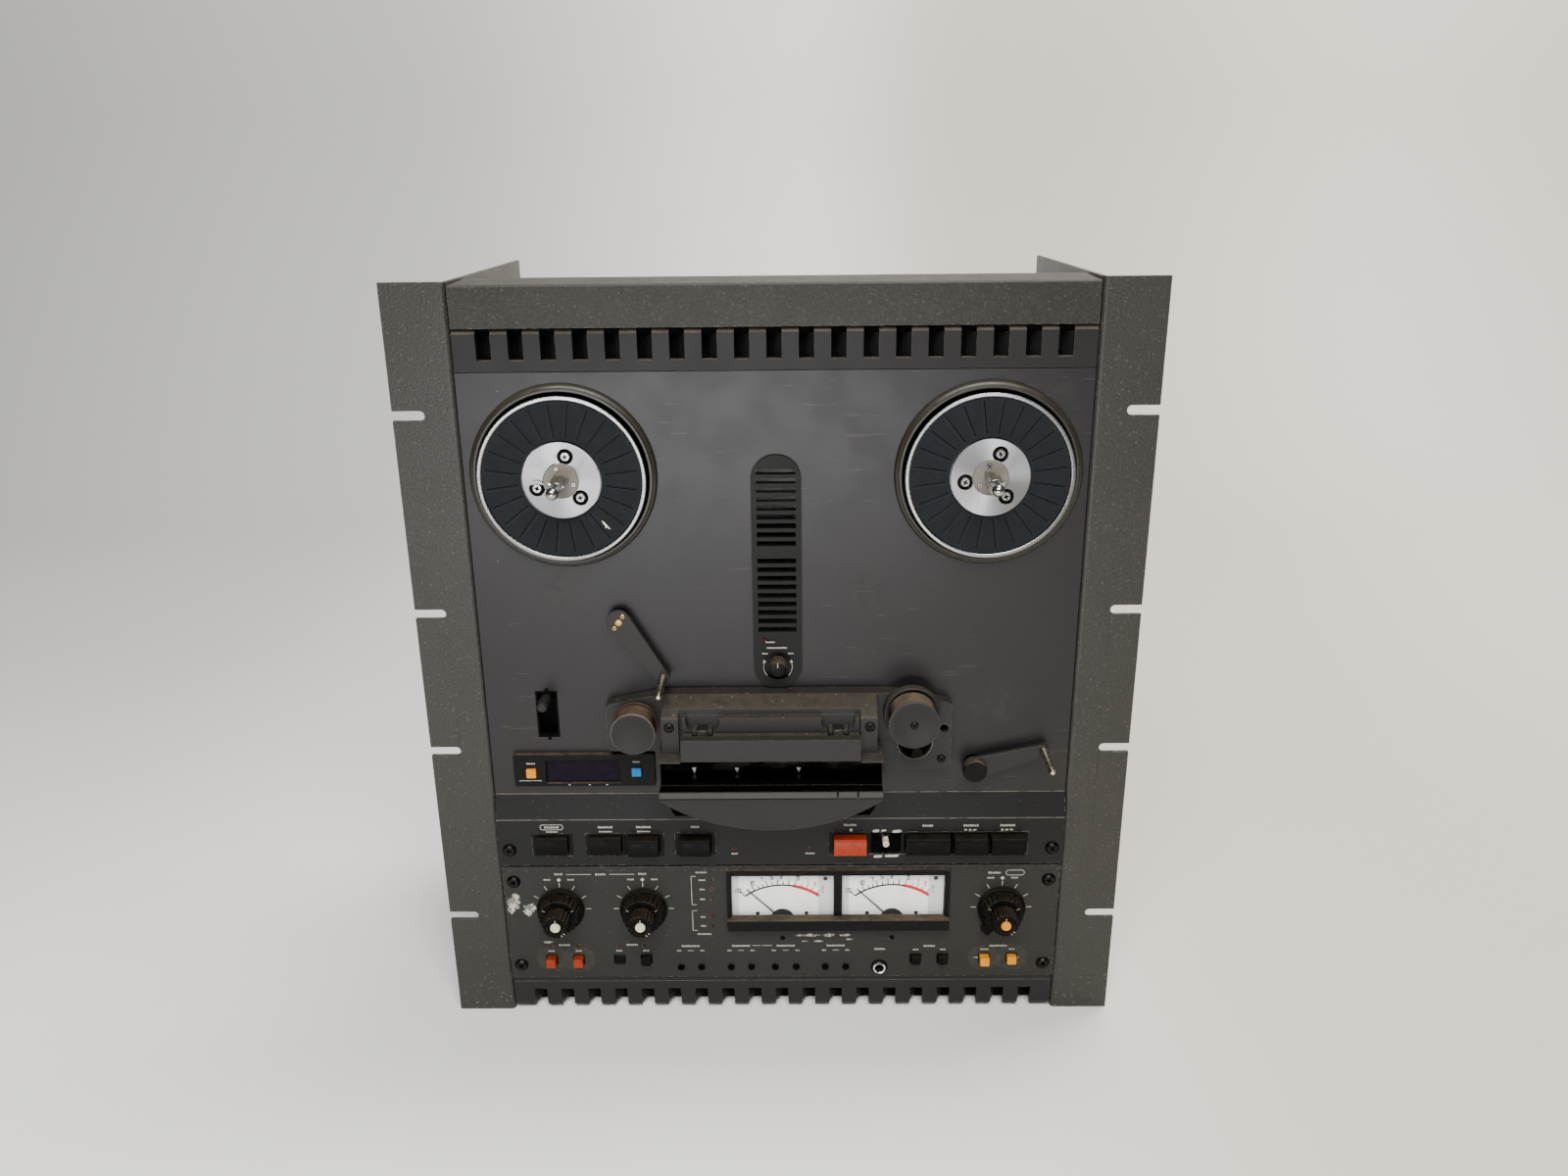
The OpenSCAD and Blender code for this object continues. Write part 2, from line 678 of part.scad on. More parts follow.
// Capstan shaft and its flywheel, one turning piece
module capstan() {
    color("silver") seat() turned(capstan_at) polygon([[0, -56], [capstan_r, -56], [capstan_r, -52],
        [flywheel_r, -52], [flywheel_r, -40], [8, -40], [8, -36.4], [capstan_r, -36.4],
        [capstan_r, 24.4], [capstan_r - 0.6, 25], [0, 25]]);
}

module motor_pulley() {
    color("goldenrod") seat() turned(motor_at) polygon([[0, -80], [3, -80], [3, -54], [12, -54],
        [12, -52], [pulley_r, -52], [pulley_r, -40], [12, -40], [12, -38], [0, -38]]);
}

// Outline of a belt line round the flywheel and the pulley, a clearance outside each
module belt_line(gap) {
    a = flywheel_r + gap;
    b = pulley_r + gap;
    lean = acos((a - b) / norm(capstan_at - motor_at));
    polygon(concat(arc(capstan_at, a, lean - 180, 180 - lean, 32),
        arc(motor_at, b, 180 - lean, 180 + lean, 16)));
}

module drive_belt() {
    color("black") seat() slab([43, 49]) difference() {
        belt_line(1.2);
        belt_line(0.3);
    }
}

// Two reel motors behind the transport plate and the capstan motor on its pillars
module drive_motors() {
    color("silver") seat() {
        for (at = [supply_at, takeup_at])
            difference() {
                union() {
                    rod(50, [12, 88], at);
                    rod(30, [plate_y, 13], at);
                    rod(12, [87, 96], at);
                }
                rod(5 + running, [0, 42], at);
            }
        difference() {
            union() {
                rod(34, [60, 130], motor_at);
                for (a = [110, 180, 250])
                    rod(4, [plate_y, 61], motor_at + 28 * [cos(a), sin(a)]);
            }
            rod(3 + running, [50, 82], motor_at);
        }
    }
}

// Circuit boards standing on the chassis floor, the mains transformer and the capacitors
module electronics() {
    floor_z = base_z + sheet_t;
    color("darkgreen") seat() {
        box([-170, 170], [34, 35.6], [floor_z, 168]);
        for (x = [-150:30:150])
            box([x - 9, x + 9], [35, 50], [60, 84]);
        box([-170, 60], [150, 151.6], [floor_z, 180]);
        for (x = [-150:50:30])
            translate([x, 150.5, 120]) rotate([90, 0, 0]) cylinder(r = 12, h = 40);
        box([90, 170], [110, 190], [floor_z, 100]);
        box([100, 160], [100, 200], [40, 90]);
        for (k = KEYS)
            box([k[1] - 8, k[1] + 8], [22, 34.5], [key_z - 6, key_z + 6]);
        for (b = BUTTONS)
            box([b[1] - 6, b[1] + 6], [18, 34.5], [button_z - 6, button_z + 6]);
        for (x = knob_x)
            rod(11, [18, 34.5], [x, knob_z]);
    }
}

// Head editing lever: a round grip through the deck slot on a lever behind it
module cue_lever() {
    tip_y = -19;
    color("gray") seat() {
        turned(cue_at) polygon([[0, -5], [2.4, -5], [2.4, 1], [3.6, 3], [3.6, 17], [3, 18.6],
            [1.8, -tip_y], [0, -tip_y]]);
        translate([cue_at[0], 0, 0]) hull() {
            box([-1.4, 1.4], [2, 6], [cue_at[1] - 2, cue_at[1] + 2]);
            box([-1.4, 1.4], [cue_pivot[0] - 2, cue_pivot[0] + 3], [cue_pivot[1] - 3, cue_pivot[1] + 3]);
        }
        translate([cue_at[0] - 10.4, cue_pivot[0], cue_pivot[1]]) rotate([0, 90, 0])
            cylinder(r = 2.5, h = 20.8);
    }
}

module pitch_shaft() {
    color("silver") seat() turned(pitch_at) polygon([[0, -20], [2, -20], [2, -9.4], [5, -9.4],
        [5, -7.4], [2, -7.4], [2, 8.4], [0, 8.4]]);
}

module pitch_knob() {
    bore = 2 + running;
    color("gray") seat() turned(pitch_at) polygon([[bore, -1.6], [5.9, -1.6], [5.9, 9.8],
        [5.3, 10.4], [0, 10.4], [0, 8.8], [bore, 8.8]]);
}

// ---- knobs, needles, keys and buttons ----

// Outer ring knob: a flared skirt on a hollow shaft
module outer_knob(x) {
    turned([x, knob_z]) polygon([[1.7, -16], [3, -16], [3, 4.2], [knob_r, 4.2], [knob_r, 6.6],
        [14.6, 9], [14, 14.4], [13.4, 15], [1.7, 15]]);
}

module input_1_outer_knob() {
    color("dimgray") seat() outer_knob(knob_x[0]);
}

module input_2_outer_knob() {
    color("dimgray") seat() outer_knob(knob_x[1]);
}

// The output ring has a lever tab at its lower left
module output_outer_knob() {
    color("dimgray") seat() {
        outer_knob(knob_x[2]);
        translate([knob_x[2], 0, knob_z]) rotate([0, 128, 0])
            box([13, 20.5], [-12.4, -6], [-3.2, 3.2]);
    }
}

// Inner knob: a ribbed grip with a raised centre cap, on its own thin shaft
module inner_knob(x) {
    grip_r = 9.4;
    difference() {
        turned([x, knob_z]) polygon([[0, -17.4], [1.65, -17.4], [1.65, 15.4], [grip_r, 15.4],
            [grip_r, 26], [grip_r - 0.8, 26.8], [3.5, 26.8], [3.5, 27.4], [3, 27.7], [0, 27.7]]);
        for (i = [0:17])
            translate([x, 0, knob_z]) rotate([0, i * 20, 0])
                box([grip_r - 0.7, grip_r + 1], [-28, -16], [-0.5, 0.5]);
    }
}

module input_1_inner_knob() {
    color("black") seat() inner_knob(knob_x[0]);
}

module input_2_inner_knob() {
    color("black") seat() inner_knob(knob_x[1]);
}

module output_inner_knob() {
    color("black") seat() inner_knob(knob_x[2]);
}

// A meter needle at rest against its left stop, with its counterweight hub
module needle(x) {
    rest = 135;
    color("black") seat() {
        rod(1.8, [-0.9, 0.5], [x, meter_z]);
        translate([x, 0, meter_z]) rotate([0, -rest, 0])
            box([0, needle_len], [-0.6, -0.2], [-0.25, 0.25]);
    }
}

module left_needle() {
    needle(meter_x[0]);
}

module right_needle() {
    needle(meter_x[1]);
}

// A large key: a bevelled cap with a stem behind it
module key_cap(k) {
    front = control_y - k[3];
    z = [key_z - key_h / 2, key_z + key_h / 2];
    color(k[4]) seat() {
        bar([k[1] - k[2] / 2, k[1] + k[2] / 2]) polygon([[-1, z[0]], [front + 0.8, z[0]],
            [front, z[0] + 0.8], [front, z[1] - 1], [front + 1, z[1]], [-1, z[1]]]);
        box([k[1] - 3, k[1] + 3], [-1 - eps, 12], [key_z - 3, key_z + 3]);
    }
}

// The play key's bare plunger, a round stud on a slim stem
module play_plunger() {
    color("wheat") seat() {
        rod(2.3, [-9, 12], [play_x - 0.8, key_z]);
        box([play_x - 2.3, play_x + 0.7], [-5, 12], [key_z, key_z + 5]);
    }
}

// A small square button with rounded corners and a stem
module small_button(at, face, out, tint) {
    front = face - out;
    half = button_w / 2;
    color(tint) seat() {
        slab([front, 4]) polygon(round_box([at[0] - half, at[0] + half],
            [at[1] - half, at[1] + half], 0.8, 4));
        box([at[0] - 1.6, at[0] + 1.6], [3.9, 10], [at[1] - 1.6, at[1] + 1.6]);
    }
}

rack_ears();
top_trim();
vent_strips();
deck_panel();
reel_bezels();
center_grille();
head_base();
head_cover();
head_apron();
tape_heads();
counter_bezel();
control_panel();
audio_panel();
meter_housing();
chassis();
rear_cover();
drive_motors();
drive_belt();
electronics();
panel_screws();
supply_platter();
takeup_platter();
supply_arm();
takeup_arm();
guide_roller();
pinch_arm();
pinch_roller();
capstan();
motor_pulley();
head_gate();
cue_lever();
pitch_shaft();
pitch_knob();
input_1_outer_knob();
input_1_inner_knob();
input_2_outer_knob();
input_2_inner_knob();
output_outer_knob();
output_inner_knob();
left_needle();
right_needle();
play_plunger();
for (k = KEYS)
    key_cap(k);
for (b = BUTTONS)
    small_button([b[1], button_z], audio_y, b[2], b[3]);
for (b = COUNTER)
    small_button([b[1], b[2]], -4, 2, b[3]);
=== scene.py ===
"""Looks of the rack mounted reel to reel tape deck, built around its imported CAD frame."""

import json
import math

import bmesh
import bpy
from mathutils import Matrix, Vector
from mathutils.geometry import tessellate_polygon


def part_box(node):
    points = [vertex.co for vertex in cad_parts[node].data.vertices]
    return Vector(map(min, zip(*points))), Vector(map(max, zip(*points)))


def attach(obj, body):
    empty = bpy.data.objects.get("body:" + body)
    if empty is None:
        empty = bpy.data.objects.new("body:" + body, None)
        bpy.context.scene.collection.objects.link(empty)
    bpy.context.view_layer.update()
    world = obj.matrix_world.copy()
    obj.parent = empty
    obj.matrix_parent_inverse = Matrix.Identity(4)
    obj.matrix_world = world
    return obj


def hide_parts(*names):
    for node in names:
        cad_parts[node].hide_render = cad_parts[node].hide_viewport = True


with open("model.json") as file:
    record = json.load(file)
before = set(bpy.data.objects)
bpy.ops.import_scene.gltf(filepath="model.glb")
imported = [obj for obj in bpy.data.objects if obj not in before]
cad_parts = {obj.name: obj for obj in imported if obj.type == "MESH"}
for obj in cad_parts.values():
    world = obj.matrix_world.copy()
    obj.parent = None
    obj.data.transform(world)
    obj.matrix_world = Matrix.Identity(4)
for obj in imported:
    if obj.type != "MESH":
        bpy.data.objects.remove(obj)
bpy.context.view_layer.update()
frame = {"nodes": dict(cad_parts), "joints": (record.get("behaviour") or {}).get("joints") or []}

MM = 0.001
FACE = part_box("rack_ears")[0].y
JOINTS = {j["name"]: j for j in frame["joints"]}


# ---- places ----

def axis_of(joint):
    """X and Z of a joint's axis, in millimetres."""
    pos = JOINTS[joint]["pos_m"]
    return pos[0] / MM, pos[2] / MM


def span(node):
    """A CAD node's box in millimetres: x0, x1, back, front, z0, z1. Depths are forward of the ears' front."""
    low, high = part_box(node)
    return (low.x / MM, high.x / MM, (FACE - high.y) / MM, (FACE - low.y) / MM, low.z / MM, high.z / MM)


def ring(r, at=(0.0, 0.0), n=48, a0=0.0, a1=360.0):
    """Points on a circle or, where a1 - a0 is less than a full turn, on an arc with both its ends."""
    whole = abs(a1 - a0) >= 360
    last = n if whole else n - 1
    return [(at[0] + r * math.cos(math.radians(a0 + (a1 - a0) * i / last)),
             at[1] + r * math.sin(math.radians(a0 + (a1 - a0) * i / last))) for i in range(n)]


def rect(x0, x1, z0, z1):
    """The corners of a rectangle."""
    return [(x0, z0), (x1, z0), (x1, z1), (x0, z1)]


def washer(inner, outer, back, front):
    """The turning profile of a plain ring or, where inner is 0, of a plain disc."""
    return [(inner, back), (outer, back), (outer, front), (inner, front)]


def round_rect(x0, x1, z0, z1, r, n=6):
    """A rectangle's outline with corners of radius r, n points to each."""
    return (ring(r, (x1 - r, z0 + r), n, -90, 0) + ring(r, (x1 - r, z1 - r), n, 0, 90)
            + ring(r, (x0 + r, z1 - r), n, 90, 180) + ring(r, (x0 + r, z0 + r), n, 180, 270))


def turned_by(points, angle, at=(0.0, 0.0)):
    """Points turned about the origin by an angle in degrees, then moved to at."""
    c, s = math.cos(math.radians(angle)), math.sin(math.radians(angle))
    return [(at[0] + x * c - z * s, at[1] + x * s + z * c) for x, z in points]


def polar(r, angle, at=(0.0, 0.0)):
    """The place at radius r and an angle in degrees, seen from at."""
    return at[0] + r * math.cos(math.radians(angle)), at[1] + r * math.sin(math.radians(angle))


# ---- mesh building ----

class Shape:
    """A mesh in the making, in millimetres from at: x to the right, f forward of the ears' front, z up."""

    def __init__(self, at=(0.0, 0.0)):
        self.bm = bmesh.new()
        self.at = at

    def vert(self, x, f, z):
        return self.bm.verts.new((x * MM, -f * MM, z * MM))

    def face(self, verts, mat):
        face = self.bm.faces.new(verts)
        face.material_index = mat

    def turn(self, profile, at=(0.0, 0.0), steps=96, mat=0, flutes=0, depth=0.0):
        """A turned solid from (radius, f) points. Flutes cut its rim into that many waves of that depth."""
        loops = []
        for r, f in profile:
            if r < 1e-6:
                loops.append([self.vert(at[0], f, at[1])])
                continue
            loop = []
            for i in range(steps):
                a = 2 * math.pi * i / steps
                wave = r - depth * (0.5 - 0.5 * math.cos(flutes * a)) if flutes else r
                loop.append(self.vert(at[0] + wave * math.cos(a), f, at[1] + wave * math.sin(a)))
            loops.append(loop)
        pairs = list(zip(loops, loops[1:]))
        if len(loops[0]) > 1:
            pairs.append((loops[-1], loops[0]))
        for a, b in pairs:
            for i in range(steps):
                j = (i + 1) % steps
                corners = [a[i % len(a)], a[j % len(a)], b[j % len(b)], b[i % len(b)]]
                distinct = list(dict.fromkeys(corners))
                if len(distinct) > 2:
                    self.face(distinct, mat)
        return self

    def slab(self, outline, back, front, holes=(), mat=0):
        """An (x, z) outline with holes, given thickness from back to front."""
        loops = [list(outline)] + [list(h) for h in holes]
        flat = [p for loop in loops for p in loop]
        rear = [self.vert(x, back, z) for x, z in flat]
        fore = [self.vert(x, front, z) for x, z in flat]
        if holes:
            for tri in tessellate_polygon([[Vector((x, z, 0)) for x, z in loop] for loop in loops]):
                self.face([fore[i] for i in tri], mat)
                self.face([rear[i] for i in reversed(tri)], mat)
        else:
            self.face(fore, mat)
            self.face(rear[::-1], mat)
        start = 0
        for loop in loops:
            n = len(loop)
            for i in range(n):
                a, b = start + i, start + (i + 1) % n
                self.face([rear[a], rear[b], fore[b], fore[a]], mat)
            start += n
        return self

    def block(self, x0, x1, back, front, z0, z1, mat=0):
        """A plain box."""
        return self.slab(rect(x0, x1, z0, z1), back, front, mat=mat)

    def bar(self, x0, x1, section, mat=0):
        """An (f, z) section drawn out from x0 to x1."""
        left = [self.vert(x0, f, z) for f, z in section]
        right = [self.vert(x1, f, z) for f, z in section]
        self.face(left, mat)
        self.face(right[::-1], mat)
        n = len(section)
        for i in range(n):
            self.face([left[i], left[(i + 1) % n], right[(i + 1) % n], right[i]], mat)
        return self

    def cross_screw(self, at, seat, r, rise, turn=20.0, mat=0, dark=1):
        """A cross recess screw head: a cone with a dished top that has a sharp cross cut in it, and a thin
        dark disc of painted shade at the cross's bottom.
        """
        top = r * 0.72
        deep = min(rise * 0.75, r * 0.5)
        arm, half = r * 0.5, r * 0.15
        cross = []
        for quarter in range(4):
            cross += turned_by([(half, half), (half, arm), (-half, arm)], turn + 90 * quarter, at)
        self.turn([(0, seat), (r, seat), (r, seat + rise * 0.25), (r * 0.9, seat + rise * 0.6),
                   (top, seat + rise - 0.02), (top, seat + rise - deep), (0, seat + rise - deep)],
                  at, 40, mat)
        self.slab(ring(top, at, 40), seat + rise - deep, seat + rise, [cross], mat)
        # Painted shade: a thin dark disc at the bottom of the cross.
        self.turn(washer(0, arm * 1.05, seat + rise - deep, seat + rise - deep + 0.05), at, 16, dark)
        return self

    def done(self, name, body, slot, materials, bevel=0.0, segments=2, replaces=()):
        """The finished object, riding on a body. A bevel rounds its edges by that many millimetres."""
        bmesh.ops.recalc_face_normals(self.bm, faces=self.bm.faces)
        mesh = bpy.data.meshes.new(name)
        self.bm.to_mesh(mesh)
        self.bm.free()
        mesh.polygons.foreach_set("use_smooth", [True] * len(mesh.polygons))
        for m in materials:
            mesh.materials.append(m.mat)
        piece = bpy.data.objects.new(name, mesh)
        bpy.context.scene.collection.objects.link(piece)
        piece.location = (self.at[0] * MM, FACE, self.at[1] * MM)
        if bevel:
            soften(piece, bevel, segments)
        else:
            mesh.set_sharp_from_angle(angle=math.radians(32))
        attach(piece, body)
        if replaces:
            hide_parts(*replaces)
        return piece


def soften(piece, width, segments=2):
    """Rounds a piece's edges by that many millimetres."""
    mod = piece.modifiers.new("edge", "BEVEL")
    mod.width = width * MM
    mod.segments = segments
    mod.limit_method = "ANGLE"
    mod.angle_limit = math.radians(35)
    mod.harden_normals = True


# ---- materials ----

def tone(*display):
    """A display colour, 0 to 255, as a linear one."""
    return tuple(c / 255 / 12.92 if c <= 10 else ((c / 255 + 0.055) / 1.055) ** 2.4 for c in display) + (1.0,)


def shade(color, factor, lift=0.0):
    """A linear colour made lighter or darker."""
    return tuple(min(1.0, c * factor + lift) for c in color[:3]) + (1.0,)


class Look:
    """A procedural material, laid down as layers of colour, gloss and height over its base."""

    def __init__(self, name, color, rough, metallic=0.0, specular=0.5):
        self.mat = bpy.data.materials.new(name)
        self.mat.use_nodes = True
        self.tree = self.mat.node_tree
        self.bsdf = self.tree.nodes["Principled BSDF"]
        self.bsdf.inputs["Metallic"].default_value = metallic
        self.bsdf.inputs["Specular IOR Level"].default_value = specular
        self.bsdf.inputs["Base Color"].default_value = color
        self.bsdf.inputs["Roughness"].default_value = rough
        self.color = color
        self.rough = rough
        self.height = None
        coords = self.tree.nodes.new("ShaderNodeTexCoord")
        self.place = coords.outputs["Object"]
        self.normal = coords.outputs["Normal"]

    def node(self, kind, sockets, **settings):
        """A new node with its settings, its sockets filled from values or from other nodes' outputs."""
        node = self.tree.nodes.new(kind)
        for key, value in settings.items():
            setattr(node, key, value)
        for key, value in sockets.items():
            self.link(value, node.inputs[key])
        return node

    def link(self, value, socket):
        """Fills a socket from another node's output or with a plain value."""
        if isinstance(value, bpy.types.NodeSocket):
            self.tree.links.new(value, socket)
        else:
            socket.default_value = value

    def math(self, op, a, b=0.0):
        return self.node("ShaderNodeMath", {0: a, 1: b}, operation=op).outputs[0]

    def vector(self, op, a, b=(0, 0, 0)):
        return self.node("ShaderNodeVectorMath", {0: a, 1: b}, operation=op)

    def grain(self, size, detail=3.0, stretch=(1, 1, 1), rough=0.55, distort=0.0):
        """Noise from 0 to 1 with features of that size in millimetres."""
        place = self.vector("MULTIPLY", self.place, stretch).outputs[0]
        sockets = {"Vector": place, "Scale": 1 / (size * MM), "Detail": detail, "Roughness": rough,
                   "Distortion": distort}
        return self.node("ShaderNodeTexNoise", sockets).outputs["Fac"]

    def cells(self, size):
        """The distance from the middle of the nearest cell, the cells being of that size in millimetres."""
        sockets = {"Vector": self.place, "Scale": 1 / (size * MM)}
        return self.node("ShaderNodeTexVoronoi", sockets).outputs["Distance"]

    def band(self, value, low, high):
        """0 where value is at or under low, 1 at or over high, or the other way round."""
        sockets = {"Value": value, "From Min": low, "From Max": high}
        return self.node("ShaderNodeMapRange", sockets, interpolation_type="SMOOTHSTEP").outputs["Result"]

    def patches(self, size, detail, low, high):
        """Noise cut to a mask of patches of about that size in millimetres."""
        return self.band(self.grain(size, detail), low, high)

    def part(self, vector, which):
        return self.node("ShaderNodeSeparateXYZ", {0: vector}).outputs[which]

    def coord(self, which):
        return self.part(self.place, which)

    def upward(self, low=0.25, high=0.8):
        """1 on faces that look up, 0 on the rest."""
        return self.band(self.part(self.normal, "Z"), low, high)

    def edges(self, radius=0.5, low=0.02, high=0.25):
        """1 along edges, where the rounded normal leaves the true one."""
        rounded = self.node("ShaderNodeBevel", {"Radius": radius * MM}, samples=4).outputs[0]
        true = self.node("ShaderNodeNewGeometry", {}).outputs["Normal"]
        agree = self.vector("DOT_PRODUCT", rounded, true).outputs["Value"]
        return self.band(self.math("SUBTRACT", 1.0, agree), low, high)

    def spot(self, x, f, z, radius, soft, ragged, stretch=(1, 1, 1)):
        """1 within a radius of a place given in millimetres, with a soft and ragged rim."""
        away = self.vector("SUBTRACT", self.place, (x * MM, FACE - f * MM, z * MM)).outputs[0]
        away = self.vector("MULTIPLY", away, stretch).outputs[0]
        reach = self.vector("LENGTH", away).outputs["Value"]
        swing = self.math("SUBTRACT", self.grain(radius * 0.5), 0.5)
        shift = self.math("MULTIPLY", swing, ragged * radius * MM)
        return self.band(self.math("ADD", reach, shift), radius * MM, radius * (1 - soft) * MM)

    def both(self, *masks):
        """1 only where every mask is 1."""
        total = masks[0]
        for m in masks[1:]:
            total = self.math("MULTIPLY", total, m)
        return total

    def tint(self, mask, color, amount=1.0):
        """Lays a colour down where the mask is 1."""
        if amount != 1.0:
            mask = self.math("MULTIPLY", mask, amount)
        mix = self.node("ShaderNodeMix", {0: mask, 6: self.color, 7: color}, data_type="RGBA")
        self.color = mix.outputs[2]
        self.link(self.color, self.bsdf.inputs["Base Color"])

    def gloss(self, mask, rough):
        """Changes the roughness where the mask is 1."""
        mix = self.node("ShaderNodeMix", {0: mask, 2: self.rough, 3: rough}, data_type="FLOAT")
        self.rough = mix.outputs[0]
        self.link(self.rough, self.bsdf.inputs["Roughness"])

    def raise_by(self, mask, height):
        """Adds a height in millimetres where the mask is 1."""
        lift = self.math("MULTIPLY", mask, height * MM)
        self.height = lift if self.height is None else self.math("ADD", self.height, lift)

    def bumped(self):
        """The finished look, its heights turned into a bump."""
        bump = self.node("ShaderNodeBump", {"Distance": 1.0, "Height": self.height})
        self.link(bump.outputs[0], self.bsdf.inputs["Normal"])
        return self

    def dusty(self, color, amount=0.8, size=1.4, low=0.25, high=0.75, cover=0.42):
        """Dust on the faces that look up: thick, clumped and dull."""
        clumps = self.patches(size, 5, cover - 0.12, cover + 0.12)
        drift = self.patches(size * 9, 2, 0.3, 0.62)
        mask = self.both(self.upward(low, high), self.math("ADD", self.math("MULTIPLY", clumps, 0.6), 0.4),
                         self.math("ADD", self.math("MULTIPLY", drift, 0.5), 0.5))
        mask = self.math("MULTIPLY", mask, amount)
        self.tint(mask, color)
        self.gloss(mask, 0.95)


DUST = tone(128, 112, 92)
PALE = tone(205, 200, 190)


def painted(name, color, rough, grain=0.55, speck=None, wear=None, shine=0.2):
    """Sprayed enamel: a fine orange peel, faint cloudy soiling and, if wanted, specks and worn edges."""
    look = Look(name, color, rough, specular=shine)
    look.tint(look.patches(48, 4, 0.42, 0.68), shade(color, 0.72), 0.28)
    look.tint(look.patches(grain * 2, 4, 0.5, 0.72), shade(color, 1.35), 0.35)
    if speck:
        look.tint(look.patches(1.1, 5, 0.67, 0.73), speck, 0.4)
    look.gloss(look.patches(30, 3, 0.35, 0.7), min(1.0, rough + 0.04))
    if wear:
        look.tint(look.both(look.edges(0.6), look.patches(5, 4, 0.42, 0.6)), wear, 0.8)
    look.raise_by(look.grain(grain, 2), 0.018)
    return look


def plastic(name, color, rough, wear=None, dust=0.0, shine=0.1):
    """Moulded plastic with a fine texture, finger polish and, if wanted, dust and worn edges."""
    look = Look(name, color, rough, specular=shine)
    look.tint(look.patches(6, 4, 0.45, 0.7), shade(color, 1.5, 0.004), 0.35)
    look.gloss(look.patches(9, 3, 0.35, 0.65), min(1.0, rough + 0.18))
    if wear:
        look.tint(look.both(look.edges(0.4), look.patches(3, 3, 0.4, 0.6)), wear, 0.7)
    if dust:
        look.dusty(DUST, dust)
    look.raise_by(look.grain(0.9, 2), 0.006)
    return look.bumped()


def metal(name, color, rough, scratch=0.012, dirt=0.3):
    """Bare metal with fine scratches, dull patches and a little dirt."""
    look = Look(name, color, rough, metallic=1.0)
    look.tint(look.patches(7, 5, 0.52, 0.72), shade(color, 0.55), dirt)
    look.gloss(look.patches(4, 5, 0.4, 0.7), min(1.0, rough + 0.2))
    look.raise_by(look.grain(0.5, 3), scratch)
    return look.bumped()


def turned_metal(name, color, rough, ring=0.35, depth=0.004, aniso=0.75):
    """Metal turned on a lathe about its own Y axis: fine rings that draw the light out into a fan."""
    look = Look(name, color, rough, metallic=1.0)
    x, z = look.coord("X"), look.coord("Z")
    r = look.math("SQRT", look.math("ADD", look.math("MULTIPLY", x, x), look.math("MULTIPLY", z, z)))
    sockets = {"W": look.math("MULTIPLY", r, 1 / (ring * MM)), "Scale": 1.0, "Detail": 4.0}
    rings = look.node("ShaderNodeTexNoise", sockets, noise_dimensions="1D").outputs["Fac"]
    darker = shade(color, 0.7)
    look.tint(look.patches(5, 5, 0.58, 0.78), darker, 0.2)
    look.tint(rings, darker, 0.4)
    look.gloss(look.patches(8, 3, 0.5, 0.75), min(1.0, rough + 0.06))
    look.raise_by(rings, depth)
    look.bumped()
    look.bsdf.inputs["Anisotropic"].default_value = aniso
    tangent = look.node("ShaderNodeTangent", {}, direction_type="RADIAL", axis="Y")
    look.link(tangent.outputs[0], look.bsdf.inputs["Tangent"])
    return look


def hammered(look, size, height):
    """Adds hammer finish to a paint: close rounded dimples, with painted shade in their pits and a painted
    highlight on their crests.
    """
    dimples = look.grain(size, 2, rough=0.4)
    look.raise_by(dimples, height)
    # Painted shade in the dimples' pits.
    look.tint(look.band(dimples, 0.47, 0.36), tone(34, 32, 29), 0.35)
    # Painted highlight on the dimples' crests.
    look.tint(look.band(dimples, 0.53, 0.66), tone(62, 60, 55), 0.3)
    look.tint(look.band(look.cells(size * 3), 0.2, 0.1), tone(92, 90, 84), 0.3)


def hammer_paint():
    """The ears' grey hammer finish, scuffed at the edges and flecked near the floor."""
    look = painted("hammer_paint", tone(43, 41, 38), 0.38, 0.9, shine=0.3)
    hammered(look, 1.5, 0.2)
    look.tint(look.both(look.edges(0.8, 0.04, 0.3), look.patches(4, 4, 0.5, 0.62)), PALE, 0.7)
    look.tint(look.both(look.band(look.coord("Z"), 0.05, 0.0), look.patches(2.5, 5, 0.62, 0.68)),
              tone(150, 145, 135), 0.3)
    return look.bumped()


def trim_paint():
    """The top trim's finish, the ears' hammer paint again, dustier on top."""
    look = painted("trim_paint", tone(41, 39, 36), 0.4, 0.8, wear=PALE)
    hammered(look, 1.4, 0.16)
    look.dusty(tone(66, 61, 53), 0.3, 1.2)
    return look.bumped()


def vent_plastic():
    """Dark moulded vent strips, dusty on their ledges."""
    look = painted("vent_plastic", tone(28, 27, 27), 0.42, 0.7, wear=tone(110, 108, 102))
    look.dusty(tone(90, 80, 66), 0.6, 1.6, 0.35, 0.8, 0.4)
    return look.bumped()


def grille_plastic():
    """Dark moulded grille, with painted shade on the faces that look up: inside its slots they stand in
    shadow.
    """
    look = painted("grille_plastic", tone(23, 23, 22), 0.42, 0.6, speck=tone(60, 56, 50), shine=0.12)
    # Painted shade: faces that look up are tinted near black.
    look.tint(look.upward(0.5, 0.9), tone(8, 8, 8), 0.85)
    return look.bumped()


